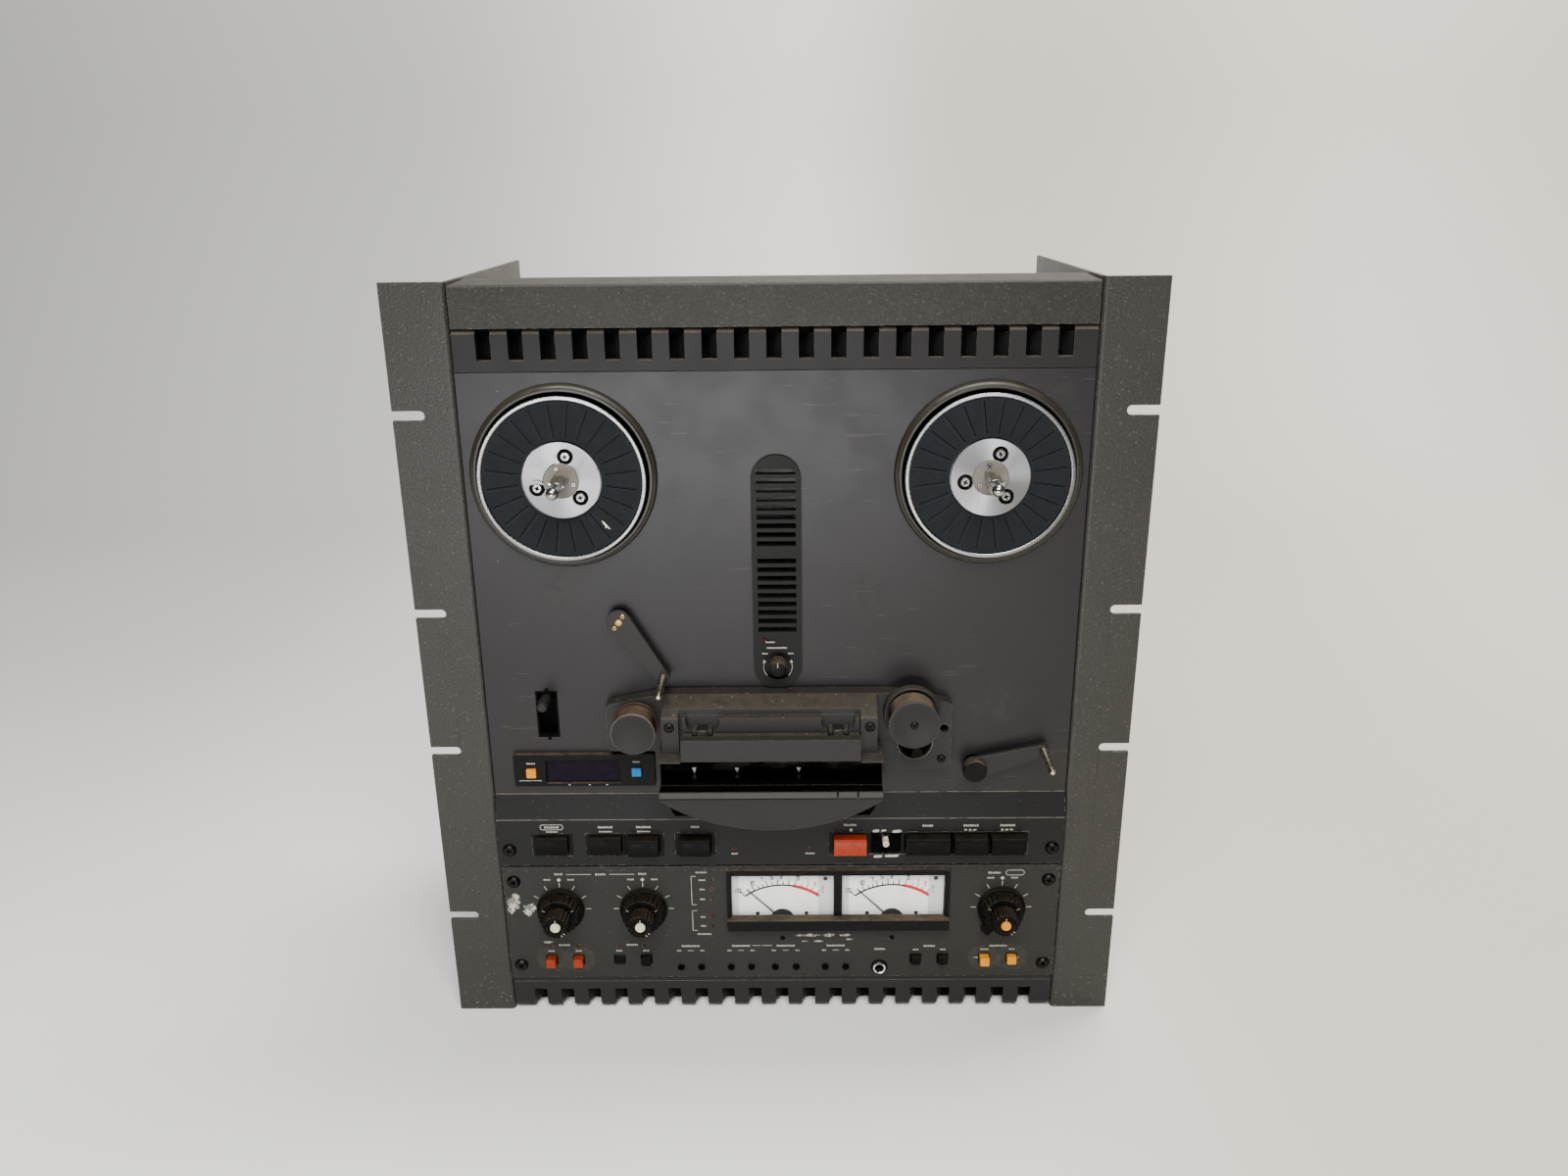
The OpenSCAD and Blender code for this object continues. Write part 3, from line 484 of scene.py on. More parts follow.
def deck_paint():
    """Satin deck enamel with oily smudges, dust specks and fine scratches round the tape path."""
    look = painted("deck_paint", tone(26, 24, 25), 0.32, 0.45, speck=tone(66, 61, 54), shine=0.3)
    smudges = [(178, 464, 15), (165, 450, 8), (188, 440, 7), (60, 330, 22), (-140, 335, 26), (150, 250, 20)]
    for x, z, r in smudges:
        blot = look.spot(x, 0, z, r, 0.9, 1.2)
        look.tint(look.both(blot, look.patches(6, 4, 0.42, 0.58)), tone(40, 38, 36), 0.4)
        look.gloss(blot, 0.42)
    streaks = look.band(look.grain(1.6, 2, (0.05, 1, 1), distort=0.5), 0.66, 0.7)
    look.tint(look.both(streaks, look.patches(60, 2, 0.5, 0.62)), tone(110, 106, 100), 0.16)
    look.tint(look.band(look.cells(30), 0.012, 0.006), tone(170, 164, 152), 0.7)
    return look.bumped()


def panel_paint(name, color):
    """Enamel of the two lower panels, with dust specks and edges rubbed pale."""
    look = painted(name, color, 0.42, 0.4, speck=tone(128, 120, 108))
    look.tint(look.both(look.upward(0.4, 0.9), look.patches(1.2, 4, 0.4, 0.6)), DUST, 0.12)
    look.tint(look.band(look.cells(22), 0.014, 0.007), tone(170, 162, 150), 0.6)
    look.tint(look.both(look.edges(0.5), look.patches(3, 3, 0.5, 0.62)), PALE, 0.6)
    return look


def control_paint():
    """The control panel's darker enamel, with a painted highlight along its crease and its top edge."""
    look = panel_paint("control_paint", tone(15, 15, 14))
    # Painted highlight: a thin, patchy lighter line along the crease and the top edge, where light would
    # catch them.
    for z in (164.3, 182.0):
        away = look.math("ABSOLUTE", look.math("SUBTRACT", look.coord("Z"), z * MM))
        crease = look.band(away, 0.5 * MM, 0.2 * MM)
        look.tint(look.both(crease, look.patches(9, 4, 0.25, 0.5)), tone(104, 100, 92), 0.6)
    return look.bumped()


def audio_paint():
    """The audio panel's enamel, chipped to bare white where the deck has been handled, and finger stained."""
    look = panel_paint("audio_paint", tone(34, 34, 31))
    # Each chip's middle and radius.
    chips = [(-193.5, 94, 4.6), (-191.5, 99, 2.8), (-195.5, 89, 2.4), (-183, 88.5, 3.4), (-179.5, 91, 2.2),
             (22, 66, 3.6), (35, 66, 3.6), (14, 66, 2.6), (46.5, 66, 3), (50, 62.5, 1.8), (27, 61, 2.2),
             (17, 61, 1.4), (143.5, 46, 2), (173, 46, 1.4), (-171, 61, 2.6)]
    for x, z, r in chips:
        # The chips beside the left knob are tall, the rest wide and low.
        tall = z > 70
        chip = look.spot(x, 3, z, r, 0.1, 2.2, (1.0, 1, 0.8) if tall else (0.75, 1, 3.0))
        look.tint(chip, tone(186, 182, 172), 0.9)
        bared = look.band(look.grain(2.6, 4, (1, 1, 0.5)), 0.45, 0.56)
        look.tint(look.both(chip, bared), tone(84, 80, 73), 0.85)
        look.gloss(chip, 0.7)
        look.raise_by(chip, -0.05)
    for x in (-168.8, -148.9, 148.5, 168.4):
        halo = look.both(look.spot(x, 3, 46, 12.5, 0.15, 0.4), look.patches(4, 3, 0.3, 0.55))
        look.tint(halo, tone(84, 80, 72), 0.16)
    return look.bumped()


def ring_paint():
    """Olive tinted enamel of the stepped rings round the reel tables."""
    look = painted("ring_paint", tone(36, 33, 26), 0.3, 0.6, wear=tone(120, 116, 98), shine=0.35)
    look.dusty(tone(70, 64, 50), 0.3, 1.4)
    return look.bumped()


def head_casting(name, dust):
    """The head block's dark enamel over die casting, dusty where it looks up."""
    look = painted(name, tone(34, 33, 32), 0.38, 0.5, speck=tone(80, 72, 58), wear=tone(104, 100, 92))
    look.dusty(tone(66, 60, 49), dust, 0.8, 0.25, 0.7, 0.46)
    top = look.upward(0.3, 0.8)
    look.tint(look.both(top, look.patches(0.8, 3, 0.46, 0.62)), tone(34, 31, 26), 0.75)
    look.tint(look.both(top, look.patches(1.3, 4, 0.6, 0.68)), tone(22, 20, 17), 0.6)
    look.tint(look.both(top, look.band(look.cells(4), 0.1, 0.06)), tone(160, 146, 122), 0.75)
    return look.bumped()


def apron_paint():
    """Smooth grey enamel, dusty only on the faces that look straight up."""
    dirt, bare = tone(80, 75, 66), tone(120, 116, 108)
    look = painted("apron_paint", tone(34, 34, 33), 0.4, 0.4, speck=dirt, wear=bare)
    look.dusty(tone(92, 84, 70), 0.5, 1.2, 0.6, 0.95)
    return look.bumped()


def rubber(name, color, rough, dust=0.0, worn=None):
    """Dull rubber with dust in its pores and, if wanted, edges worn pale and dust on top."""
    look = Look(name, color, rough, specular=0.12)
    look.tint(look.patches(14, 3, 0.4, 0.75), shade(color, 1.25), 0.4)
    look.tint(look.patches(0.9, 4, 0.67, 0.71), tone(96, 88, 72), 0.25)
    look.gloss(look.patches(6, 3, 0.4, 0.6), min(1.0, rough + 0.1))
    if worn:
        look.tint(look.edges(0.5), worn, 0.6)
    if dust:
        look.dusty(DUST, dust)
    look.raise_by(look.grain(0.4, 2), 0.01)
    return look.bumped()


def lit_plastic(name, color, deep):
    """Coloured translucent key plastic, glossy, grubby at its edges."""
    look = Look(name, color, 0.28, specular=0.15)
    look.tint(look.patches(5, 4, 0.5, 0.75), deep, 0.4)
    look.tint(look.both(look.edges(0.7, 0.02, 0.3), look.patches(2, 3, 0.35, 0.6)), deep, 0.8)
    look.gloss(look.patches(3, 3, 0.4, 0.65), 0.45)
    look.raise_by(look.grain(1.5, 3), 0.01)
    look.bsdf.inputs["Subsurface Weight"].default_value = 0.15
    look.bsdf.inputs["Subsurface Radius"].default_value = (0.004, 0.002, 0.001)
    look.bsdf.inputs["Subsurface Scale"].default_value = 0.4
    return look.bumped()


def dial_card(name, color):
    """Matt white card, a little yellowed and flecked."""
    look = Look(name, color, 0.55)
    look.tint(look.patches(16, 4, 0.45, 0.75), tone(196, 194, 180), 0.35)
    look.tint(look.patches(0.8, 4, 0.64, 0.7), tone(150, 142, 122), 0.35)
    look.raise_by(look.grain(0.6, 2), 0.004)
    return look.bumped()


def clear_sheet():
    """Thin clear window plastic with a little haze."""
    look = Look("clear_window", (0.3, 0.3, 0.3, 1), 0.04)
    look.bsdf.inputs["Alpha"].default_value = 0.035
    look.gloss(look.patches(5, 3, 0.55, 0.8), 0.16)
    look.raise_by(look.grain(9, 2), 0.004)
    return look.bumped()


def tape_gloss():
    """Black gloss plastic of the tape slot, with dust specks and wipe marks."""
    look = Look("tape_gloss", tone(4, 4, 4), 0.12, specular=0.25)
    look.tint(look.patches(1.1, 5, 0.66, 0.72), tone(120, 116, 108), 0.3)
    look.gloss(look.band(look.grain(7, 3, (0.3, 1, 1)), 0.4, 0.65), 0.35)
    look.raise_by(look.grain(3, 2), 0.004)
    return look.bumped()


def board_green():
    """Dusty green circuit board with traces and solder dots."""
    look = Look("board_green", tone(38, 66, 42), 0.4)
    look.tint(look.patches(5, 1, 0.5, 0.52), tone(60, 92, 52), 0.6)
    look.tint(look.band(look.cells(6), 0.16, 0.12), tone(170, 150, 80), 0.7)
    look.dusty(DUST, 0.7)
    look.raise_by(look.grain(1.2, 2), 0.05)
    return look.bumped()


def backdrop_paper():
    """Off white paper with painted light and shade: darker on the left as painted shade, a warm painted
    shadow to the right of the deck, and warmer painted light further right.
    """
    look = Look("backdrop_paper", (0.8, 0.79, 0.77, 1), 0.9, specular=0.1)
    look.tint(look.patches(220, 3, 0.4, 0.7), (0.74, 0.73, 0.71, 1), 0.4)
    wall = look.band(look.coord("Y"), -0.5, 0.7)
    # Painted shade: the wall darkens towards the left.
    look.tint(look.both(wall, look.band(look.coord("X"), 0.1, -0.8)), (0.5, 0.5, 0.48, 1))
    # Painted shadow: a warm, darker wash over floor and wall to the right of the deck.
    look.tint(look.band(look.coord("X"), 0.0, 0.4), (0.56, 0.525, 0.44, 1), 0.85)
    # Painted light: further right the wall turns warm and lighter again.
    look.tint(look.both(wall, look.band(look.coord("X"), 0.5, 1.3)), (0.78, 0.75, 0.68, 1))
    return look


HAMMER = hammer_paint()
TRIM = trim_paint()
VENT = vent_plastic()
GRILLE = grille_plastic()
DECK = deck_paint()
CONTROL = control_paint()
AUDIO = audio_paint()
RING = ring_paint()
CASTING = head_casting("head_casting", 0.3)
DUSTY_CASTING = head_casting("dusty_casting", 0.9)
APRON = apron_paint()
RIM = turned_metal("bright_rim", tone(142, 142, 142), 0.26)
HUB = turned_metal("brushed_hub", tone(146, 146, 149), 0.34, 0.5, 0.012, 0.9)
SATIN = turned_metal("satin_shaft", tone(176, 172, 166), 0.2, 0.5, 0.003, 0.3)
CHROME = metal("chrome", tone(232, 232, 234), 0.1, 0.004, dirt=0.15)
OXIDE = metal("black_oxide", tone(22, 20, 17), 0.35, 0.01)
POST = metal("tape_post", tone(196, 188, 170), 0.2, 0.01, dirt=0.25)
BRASS = metal("brass", tone(176, 142, 84), 0.3)
STEEL = metal("zinc_steel", tone(150, 150, 146), 0.38, 0.02)
SCREW = metal("bright_screw", tone(150, 148, 144), 0.2, 0.01)
BLACK_SCREW = metal("black_screw", tone(40, 39, 37), 0.36, 0.012)
BLACK = plastic("black_plastic", tone(9, 9, 9), 0.32, wear=tone(60, 56, 50), dust=0.3)
SHADE = plastic("shadow_black", tone(3, 3, 3), 0.8)
KEY = plastic("key_black", tone(5, 6, 6), 0.34, wear=tone(66, 62, 55), dust=0.05, shine=0.06)
KNOB = plastic("knob_brown", tone(7, 7, 5), 0.5, wear=tone(76, 69, 56), dust=0.06, shine=0.04)
GRIP = plastic("grip_black", tone(5, 5, 4), 0.35, wear=tone(78, 71, 58), dust=0.12, shine=0.06)
MAT = rubber("mat_rubber", tone(21, 24, 27), 0.6, worn=tone(66, 69, 71))
ROLLER = rubber("roller_rubber", tone(30, 28, 26), 0.42, 0.5)
BROWN_RUBBER = rubber("brown_rubber", tone(48, 32, 26), 0.4, 0.3)
CAP = painted("cap_enamel", tone(32, 31, 29), 0.5, 0.5, tone(90, 82, 66), tone(110, 104, 92)).bumped()
HUB_DISC = painted("hub_disc", tone(104, 100, 92), 0.36, 0.6, speck=tone(70, 62, 52)).bumped()
RED = lit_plastic("red_key", tone(138, 44, 18), tone(80, 20, 10))
AMBER = lit_plastic("amber_key", tone(206, 132, 16), tone(110, 64, 10))
BLUE = lit_plastic("blue_key", tone(22, 112, 170), tone(10, 44, 74))
CREAM = plastic("cream_nylon", tone(200, 190, 166), 0.4, shine=0.3)
INK = plastic("white_ink", tone(164, 162, 152), 0.6)
TAN_INK = plastic("tan_ink", tone(140, 132, 116), 0.6)
DARK_INK = plastic("dark_ink", tone(4, 4, 5), 0.7, shine=0.03)
RED_INK = plastic("red_ink", tone(190, 30, 36), 0.7, shine=0.03)
LIP = painted("lip_paint", tone(58, 57, 54), 0.4).bumped()
LAMP = lit_plastic("lamp_lens", tone(60, 20, 18), tone(24, 10, 10))
DIAL = dial_card("dial_card", tone(250, 250, 244))
DIAL_SIDE = dial_card("dial_side", tone(205, 207, 207))
CLEAR = clear_sheet()
COUNTER_GLASS = plastic("counter_glass", tone(12, 4, 18), 0.25, shine=0.08)
GLOSS = tape_gloss()
BOARD = board_green()
WHITE_NYLON = plastic("white_nylon", tone(222, 220, 214), 0.4)


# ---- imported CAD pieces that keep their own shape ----

def keep(node, look, bevel=0.0):
    """Gives a CAD piece its material and, if wanted, rounded edges of that many millimetres."""
    piece = frame["nodes"][node]
    if not piece.material_slots:
        piece.data.materials.append(look.mat)
    for slot in piece.material_slots:
        slot.material = look.mat
    if bevel:
        weld = piece.modifiers.new("weld", "WELD")
        weld.merge_threshold = 0.002 * MM
        soften(piece, bevel)
        piece.modifiers["edge"].use_clamp_overlap = False
    return piece


def kept_pieces():
    """Looks of the CAD pieces that need no finer shape."""
    keep("rack_ears", HAMMER, 0.35)
    keep("top_trim", TRIM, 0.3)
    keep("vent_strips", VENT, 0.3)
    keep("deck_panel", DECK)
    keep("reel_bezels", RING, 0.2)
    keep("center_grille", GRILLE)
    keep("head_base", CASTING)
    keep("head_cover", DUSTY_CASTING, 0.35)
    keep("head_gate", CASTING, 0.3)
    keep("head_apron", APRON, 0.35)
    keep("tape_heads", STEEL, 0.2)
    keep("counter_bezel", BLACK, 0.3)
    keep("control_panel", CONTROL)
    keep("audio_panel", AUDIO)
    keep("meter_housing", BLACK, 0.25)
    # Painted shade: the chassis, seen through the vents, is shadow black.
    keep("chassis", SHADE)
    keep("rear_cover", STEEL)
    keep("drive_motors", STEEL, 0.4)
    keep("drive_belt", ROLLER)
    keep("electronics", BOARD)
    keep("capstan", OXIDE)
    keep("motor_pulley", BRASS)
    keep("pitch_shaft", STEEL)
    keep("cue_lever", CAP, 0.2)


# ---- reel tables ----

def reel_table(name, joint, first):
    """Bright rim, ribbed mat, brushed hub with three screws, and a splined spindle, all turning as one."""
    at = axis_of(joint)
    body = f"{name}_platter"
    slot = "turned_aluminium"
    thirds = [first + 120 * i for i in range(3)]

    rim = Shape(at).turn([(0, 3.4), (52.6, 3.4), (53.75, 4.2), (53.75, 9.5), (53.2, 10), (51.5, 10),
                          (50.9, 9.5), (50.9, 7.1), (0, 7.1)], steps=160)
    rim.done(f"{name}_rim", body, slot, [RIM], 0.25, 3, [body])

    turns = [360 / 24 * (i + 0.5) for i in range(24)]
    grooves = [turned_by(rect(27.5, 48.6, -1, 1), turn) for turn in turns]
    mat = Shape(at).turn(washer(25.3, 50.7, 7.0, 8.5), steps=144)
    mat.slab(ring(50.4, n=144), 8.45, 9.05, [ring(25.8, n=96)] + grooves)
    # Painted shade: a shadow black strip lies in the bottom of each groove.
    for turn in turns:
        mat.slab(turned_by(rect(27.6, 48.5, -0.95, -0.25), turn), 8.4, 8.56, mat=1)
    mat.done(f"{name}_mat", body, slot, [MAT, SHADE], 0.12)

    wells = [ring(5.1, polar(16.1, a), 40) for a in thirds]
    hub = Shape(at).turn(washer(0, 25, 7.0, 9.7), steps=128)
    hub.slab(ring(24.95, n=128), 9.65, 11.2, [ring(11.5, n=64)] + wells)
    hub.done(f"{name}_hub", body, slot, [HUB], 0.3, 3)

    disc = Shape(at).turn([(0, 9.6), (11.3, 9.6), (11.3, 11.3), (10.9, 11.7), (0, 11.7)], steps=72)
    for a in thirds:
        disc.slab(turned_by(rect(6.2, 10.2, -0.55, 0.55), a - 32), 11.6, 11.78)
    disc.done(f"{name}_hub_disc", body, slot, [HUB_DISC], 0.15)

    # Each screw stands on a shadow black disc: painted shade at the bottom of its well.
    screws = Shape(at)
    for i, a in enumerate(thirds):
        screws.turn(washer(0, 5.0, 9.6, 9.9), polar(16.1, a), 40, 1)
        screws.cross_screw(polar(16.1, a), 9.85, 3.5, 1.9, 25 + 40 * i)
        screws.cross_screw(polar(8.3, a + 28), 11.65, 1.7, 0.8, 10 + 50 * i)
    screws.done(f"{name}_hub_screws", body, slot, [SCREW, SHADE])

    stem = [(0, -40), (5, -40), (5, 3.4), (3.95, 3.6), (3.95, 31), (3.65, 31.1), (3.65, 31.5), (3.95, 31.6)]
    tip = [(3.95, 41.6), (3.75, 43.1), (3.1, 44.5), (2.1, 45.5), (0, 46)]
    spindle = Shape(at).turn(stem + tip, steps=64)
    for a in thirds:
        spindle.slab(turned_by(rect(2.7, 5.6, -0.8, 0.8), a + 60), 11.5, 30.9)
    spindle.done(f"{name}_spindle", body, slot, [SATIN], 0.15)


def mat_chip():
    """A splash of white paint on the left mat."""
    outline = [(24, -26.8), (25.2, -27.6), (26.8, -29.4), (29.4, -32.6), (28.4, -32.2), (26.9, -30.9),
               (26.1, -32), (26.1, -30.2), (24.8, -28.6)]
    chip = Shape(axis_of("supply_reel_spin")).slab(outline, 9.0, 9.18)
    chip.done("supply_mat_chip", "supply_platter", "turned_aluminium", [WHITE_NYLON])


# ---- tape path ----

def tension_arm(name, joint, angle, cap):
    """A tapered arm plate with a pivot collar and a bright tape post."""
    at = axis_of(joint)
    length, wide, narrow = 48.5, 8.3, 4.4
    end = polar(length, angle)
    lean = math.degrees(math.asin((wide - narrow) / length))
    outline = ring(wide, (0, 0), 28, angle + 90 - lean, angle + 270 + lean)
    outline += ring(narrow, end, 18, angle - 90 + lean, angle + 90 - lean)
    plate = Shape(at).slab(outline, 5.6, 9.0)
    plate.turn([(0, -12), (4, -12), (4, 1), (6.2, 1), (6.2, 5.7), (0, 5.7)], steps=48)
    plate.done(f"{name}_plate", name, "head_casting", [CASTING], 0.4, 3, [name])

    post = Shape((at[0] + end[0], at[1] + end[1]))
    post.turn([(0, 8.9), (3.3, 8.9), (3.3, 12), (2.7, 13), (2.7, 35), (2.4, 38), (1.9, 40.2), (1.2, 41.2),
               (0, 41.6)], steps=40)
    post.done(f"{name}_post", name, "head_casting", [POST])

    hub = Shape(at)
    if cap:
        hub.turn([(0, 8.8), (8.2, 8.8), (8.2, 12.4), (7.6, 13.2), (0, 13.2)], steps=56)
        hub.done(f"{name}_cap", name, "head_casting", [BLACK], 0.2)
    else:
        hub.turn([(0, 8.8), (2.3, 8.8), (2.3, 9.3), (1.7, 9.5), (0, 9.5)], steps=32)
        for s in (-1, 1):
            hub.cross_screw(polar(5.0, angle + 90 * s + 20), 8.95, 1.6, 0.5, 15)
        hub.done(f"{name}_centre", name, "head_casting", [BRASS, SHADE])


def rollers():
    """Guide roller and the pinch roller on its carrier, each with a flanged cap."""
    at = axis_of("guide_roller_spin")
    guide = Shape(at)
    guide.turn([(3.1, 11.3), (15, 11.3), (15, 13), (13.4, 13.4), (13.4, 28.8), (3.1, 28.8)], steps=96)
    guide.done("guide_roller_body", "guide_roller", "roller_rubber", [BROWN_RUBBER], 0.2, 2, ["guide_roller"])
    cap = Shape(at)
    cap.turn([(0, 28.6), (14.2, 28.6), (14.4, 29.2), (14.4, 30.5), (14.0, 30.9), (12.9, 31.0), (12.4, 30.75),
              (0, 30.75)], steps=96)
    cap.done("guide_roller_cap", "guide_roller", "roller_rubber", [CAP], 0.1)
    edge = Shape(at).turn([(14.2, 29.0), (14.7, 29.1), (14.7, 30.2), (14.2, 30.3)], steps=96)
    edge.done("guide_roller_rim", "guide_roller", "roller_rubber", [HUB_DISC])

    at = axis_of("pinch_roller_spin")
    tyre = Shape(at).turn(washer(2.6, 16, 17.2, 32.6), steps=96)
    tyre.done("pinch_roller_tyre", "pinch_roller", "roller_rubber", [ROLLER], 0.4, 3, ["pinch_roller"])
    cap = Shape(at).turn([(0, 32.4), (16.3, 32.4), (16.5, 33), (16.5, 34.2), (16.0, 34.8), (13.6, 35.0),
                          (13.2, 34.8), (0, 34.8)], steps=96)
    cap.done("pinch_roller_cap", "pinch_roller", "roller_rubber", [CAP], 0.12)
    edge = Shape(at).turn([(16.2, 33.9), (16.75, 34.0), (16.75, 34.5), (16.2, 34.75)], steps=96)
    edge.done("pinch_roller_rim", "pinch_roller", "roller_rubber", [LIP])
    screw = Shape(at).cross_screw((0, 0), 34.75, 2.6, 1.1, 12)
    screw.done("pinch_roller_screw", "pinch_roller", "roller_rubber", [BLACK_SCREW, SHADE])
    keep("pinch_arm", DUSTY_CASTING, 0.25)


def tape_slot():
    """The glossy floor, back and cheeks of the tape slot, its three guides and the apron's lip."""
    x0, x1, _, lip, _, top = span("head_apron")
    ceiling = 226.2
    lining = Shape().block(x0 + 0.6, x1 - 0.6, 10.7, 11.1, top, ceiling)
    lining.block(x0 + 0.4, x1 - 0.4, 10.8, 29.8, top - 0.05, top + 0.35)
    lining.block(x0 + 0.4, x1 - 0.4, 30.3, 39.3, top - 0.05, top + 0.25)
    for x in (x0 + 0.2, x1 - 0.8):
        lining.block(x, x + 0.6, 10.8, 28.8, top + 0.3, ceiling)
    # Painted shadow: a thin shadow black band runs under each lip strip.
    strips = Shape()
    for a, b in [(x0 + 0.5, 38.6), (40, 52.2), (53.6, x1 - 0.5)]:
        strips.block(a, b, lip - 0.9, lip + 0.3, top - 4.2, top - 0.2)
        strips.block(a, b, lip - 1.1, lip - 0.1, top - 5.1, top - 4.2, 1)
    strips.done("apron_lip", "frame", "head_casting", [LIP, SHADE], 0.12)
    lining.done("tape_slot_floor", "frame", "head_casting", [GLOSS], 0.1)
    guides = Shape()
    for x in (-58, -28.7, 13.5):
        high, low = top + 4.2, top + 0.4
        guides.slab([(x - 1.5, high), (x + 1.3, high), (x + 0.5, low), (x - 0.2, low)], 11.0, 12.6)
    guides.done("tape_guides", "frame", "head_metal", [WHITE_NYLON], 0.15)


def head_block_trim():
    """The capstan's bearing rim and the small screws of the head block."""
    bearing = Shape(axis_of("capstan_spin"))
    bearing.turn([(10.1, 3), (12.5, 3), (12.5, 10.6), (12.1, 11.0), (11.7, 10.8)], steps=96)
    # Painted shade: a shadow black ring in the gap round the capstan.
    bearing.turn(washer(9.62, 10.4, 2.9, 3.2), steps=96, mat=1)
    bearing.turn(washer(13.0, 13.5, 10.5, 10.95), steps=96, mat=2)
    bearing.done("capstan_bearing_rim", "frame", "shaft_steel", [HUB_DISC, SHADE, LIP], 0.1)
    # Painted shade: shadow black rings and discs round the screw heads.
    screws = Shape()
    for at in [(-72.4, 246.2), (60.9, 246.2)]:
        screws.turn(washer(2.9, 3.5, 28.3, 28.75), at, 36, 1)
        screws.cross_screw(at, 28.3, 2.7, 0.7, 10)
    at = (110.9, 213.4)
    screws.turn(washer(0, 3, 10.7, 11), at, 28, 1)
    screws.cross_screw(at, 10.9, 2.7, 1.2, 30)
    screws.done("head_block_screws", "frame", "head_casting", [BLACK_SCREW, SHADE])


# ---- controls ----

# Each large key's middle, width, front and look.
KEYS = {
    "power_key": (-160.8, 22.3, 10, KEY), "speed_key": (-122.9, 22.3, 10, KEY),
    "reel_size_key": (-96, 21.6, 14, KEY), "edit_key": (-59.8, 21.9, 14, KEY),
    "record_key": (49.3, 23, 14, RED), "stop_key": (103.8, 31.4, 14, KEY),
    "rewind_key": (134.1, 23.6, 14, KEY), "forward_key": (159.8, 23.2, 14, KEY)}
KEY_Z = 144.9
KEY_H = 13
# How far the faces of the panels, the counter and the grille stand forward of the ears.
CONTROL_FACE = 6.0
AUDIO_FACE = 3.0
COUNTER_FACE = 4.0
GRILLE_FACE = 4.0


def large_keys():
    """Bevelled key caps, and the black frames that line the wells round them."""
    wells = Shape()
    half = KEY_H / 2
    for name, (x, w, front, look) in KEYS.items():
        cap = Shape((x, KEY_Z))
        cap.bar(-w / 2, w / 2, [(1, -half), (front - 1.2, -half), (front, 0.7 - half), (front, half - 1.8),
                                (front - 1.0, half), (1, half)])
        slot = "red_plastic" if look is RED else "key_plastic"
        cap.done(f"{name}_cap", name, slot, [look], 0.4, 3, [name])
        side = w / 2 + 3.0
        opening = rect(x - w / 2 - 0.35, x + w / 2 + 0.35, KEY_Z - half - 0.35, KEY_Z + half + 0.35)
        wells.slab(rect(x - side, x + side, KEY_Z - 9.2, KEY_Z + 8.4), 4.9, CONTROL_FACE + 0.15, [opening])
    wells.done("key_wells", "frame", "panel_paint", [BLACK], 0.25)


def play_well():
    """The play key's cap is missing: a bare cream plunger stands in its black well."""
    x = 75.4
    # Painted shade: the well's liner and its back plate are shadow black.
    liner = Shape().slab(rect(x - 11.3, x + 11.3, KEY_Z - 8.8, KEY_Z + 8.0), -3.5, 6.1,
                         [rect(x - 10.3, x + 10.3, KEY_Z - 7.9, KEY_Z + 7.1)])
    liner.slab(rect(x - 11, x + 11, KEY_Z - 8.5, KEY_Z + 7.8), -4.0, -3.3,
               [round_rect(x - 4.5, x + 3, KEY_Z - 4, KEY_Z + 7, 1)])
    liner.done("play_well_shade_liner", "frame", "panel_paint", [SHADE], 0.2)
    stud = Shape((x - 0.8, KEY_Z))
    stud.turn([(0, -12), (2.3, -12), (2.3, 8.4), (1.8, 9), (0.9, 9), (0.9, 7.5), (0, 7.5)], steps=32)
    stud.block(-1.5, 1.5, -12, 4, 0, 3.2)
    stud.done("play_plunger_stud", "play_plunger", "bare_plunger", [CREAM], 0.15, 2, ["play_plunger"])
    chips = Shape()
    for x0, x1, z0, z1 in [(65, 70, 153.3, 155.5), (71, 75, 154, 155.4), (79, 85.5, 152.9, 155.2),
                           (66, 72.5, 132.8, 134.9), (74, 84, 133.2, 135.3)]:
        chips.slab([(x0, z0 + 0.5), (x0 + 1.2, z0), (x1 - 0.8, z0 + 0.3), (x1, z1 - 0.4), (x1 - 1.5, z1),
                    (x0 + 0.6, z1 - 0.3)], CONTROL_FACE, CONTROL_FACE + 0.2)
    chips.done("play_well_chips", "frame", "panel_paint", [INK])


BUTTON_Z = 45.9
# Each small button's middle, front, look and slot.
SMALL = {
    "record_ready_1": (-168.8, BUTTON_Z, 9, RED, "red_plastic"),
    "record_ready_2": (-148.9, BUTTON_Z, 9, RED, "red_plastic"),
    "playback_sync_1": (-119, BUTTON_Z, 3.5, KEY, "key_plastic"),
    "playback_sync_2": (-99.3, BUTTON_Z, 7, KEY, "key_plastic"),
    "tone_low_button": (98.2, BUTTON_Z, 7, KEY, "key_plastic"),
    "tone_high_button": (118, BUTTON_Z, 7, KEY, "key_plastic"),
    "monitor_1_button": (148.5, BUTTON_Z, 9, AMBER, "amber_plastic"),
    "monitor_2_button": (168.4, BUTTON_Z, 7, AMBER, "amber_plastic"),
    "memory_button": (-171.9, 200.5, 6, AMBER, "amber_plastic"),
    "reset_button": (-98.8, 201.3, 6, BLUE, "blue_plastic")}


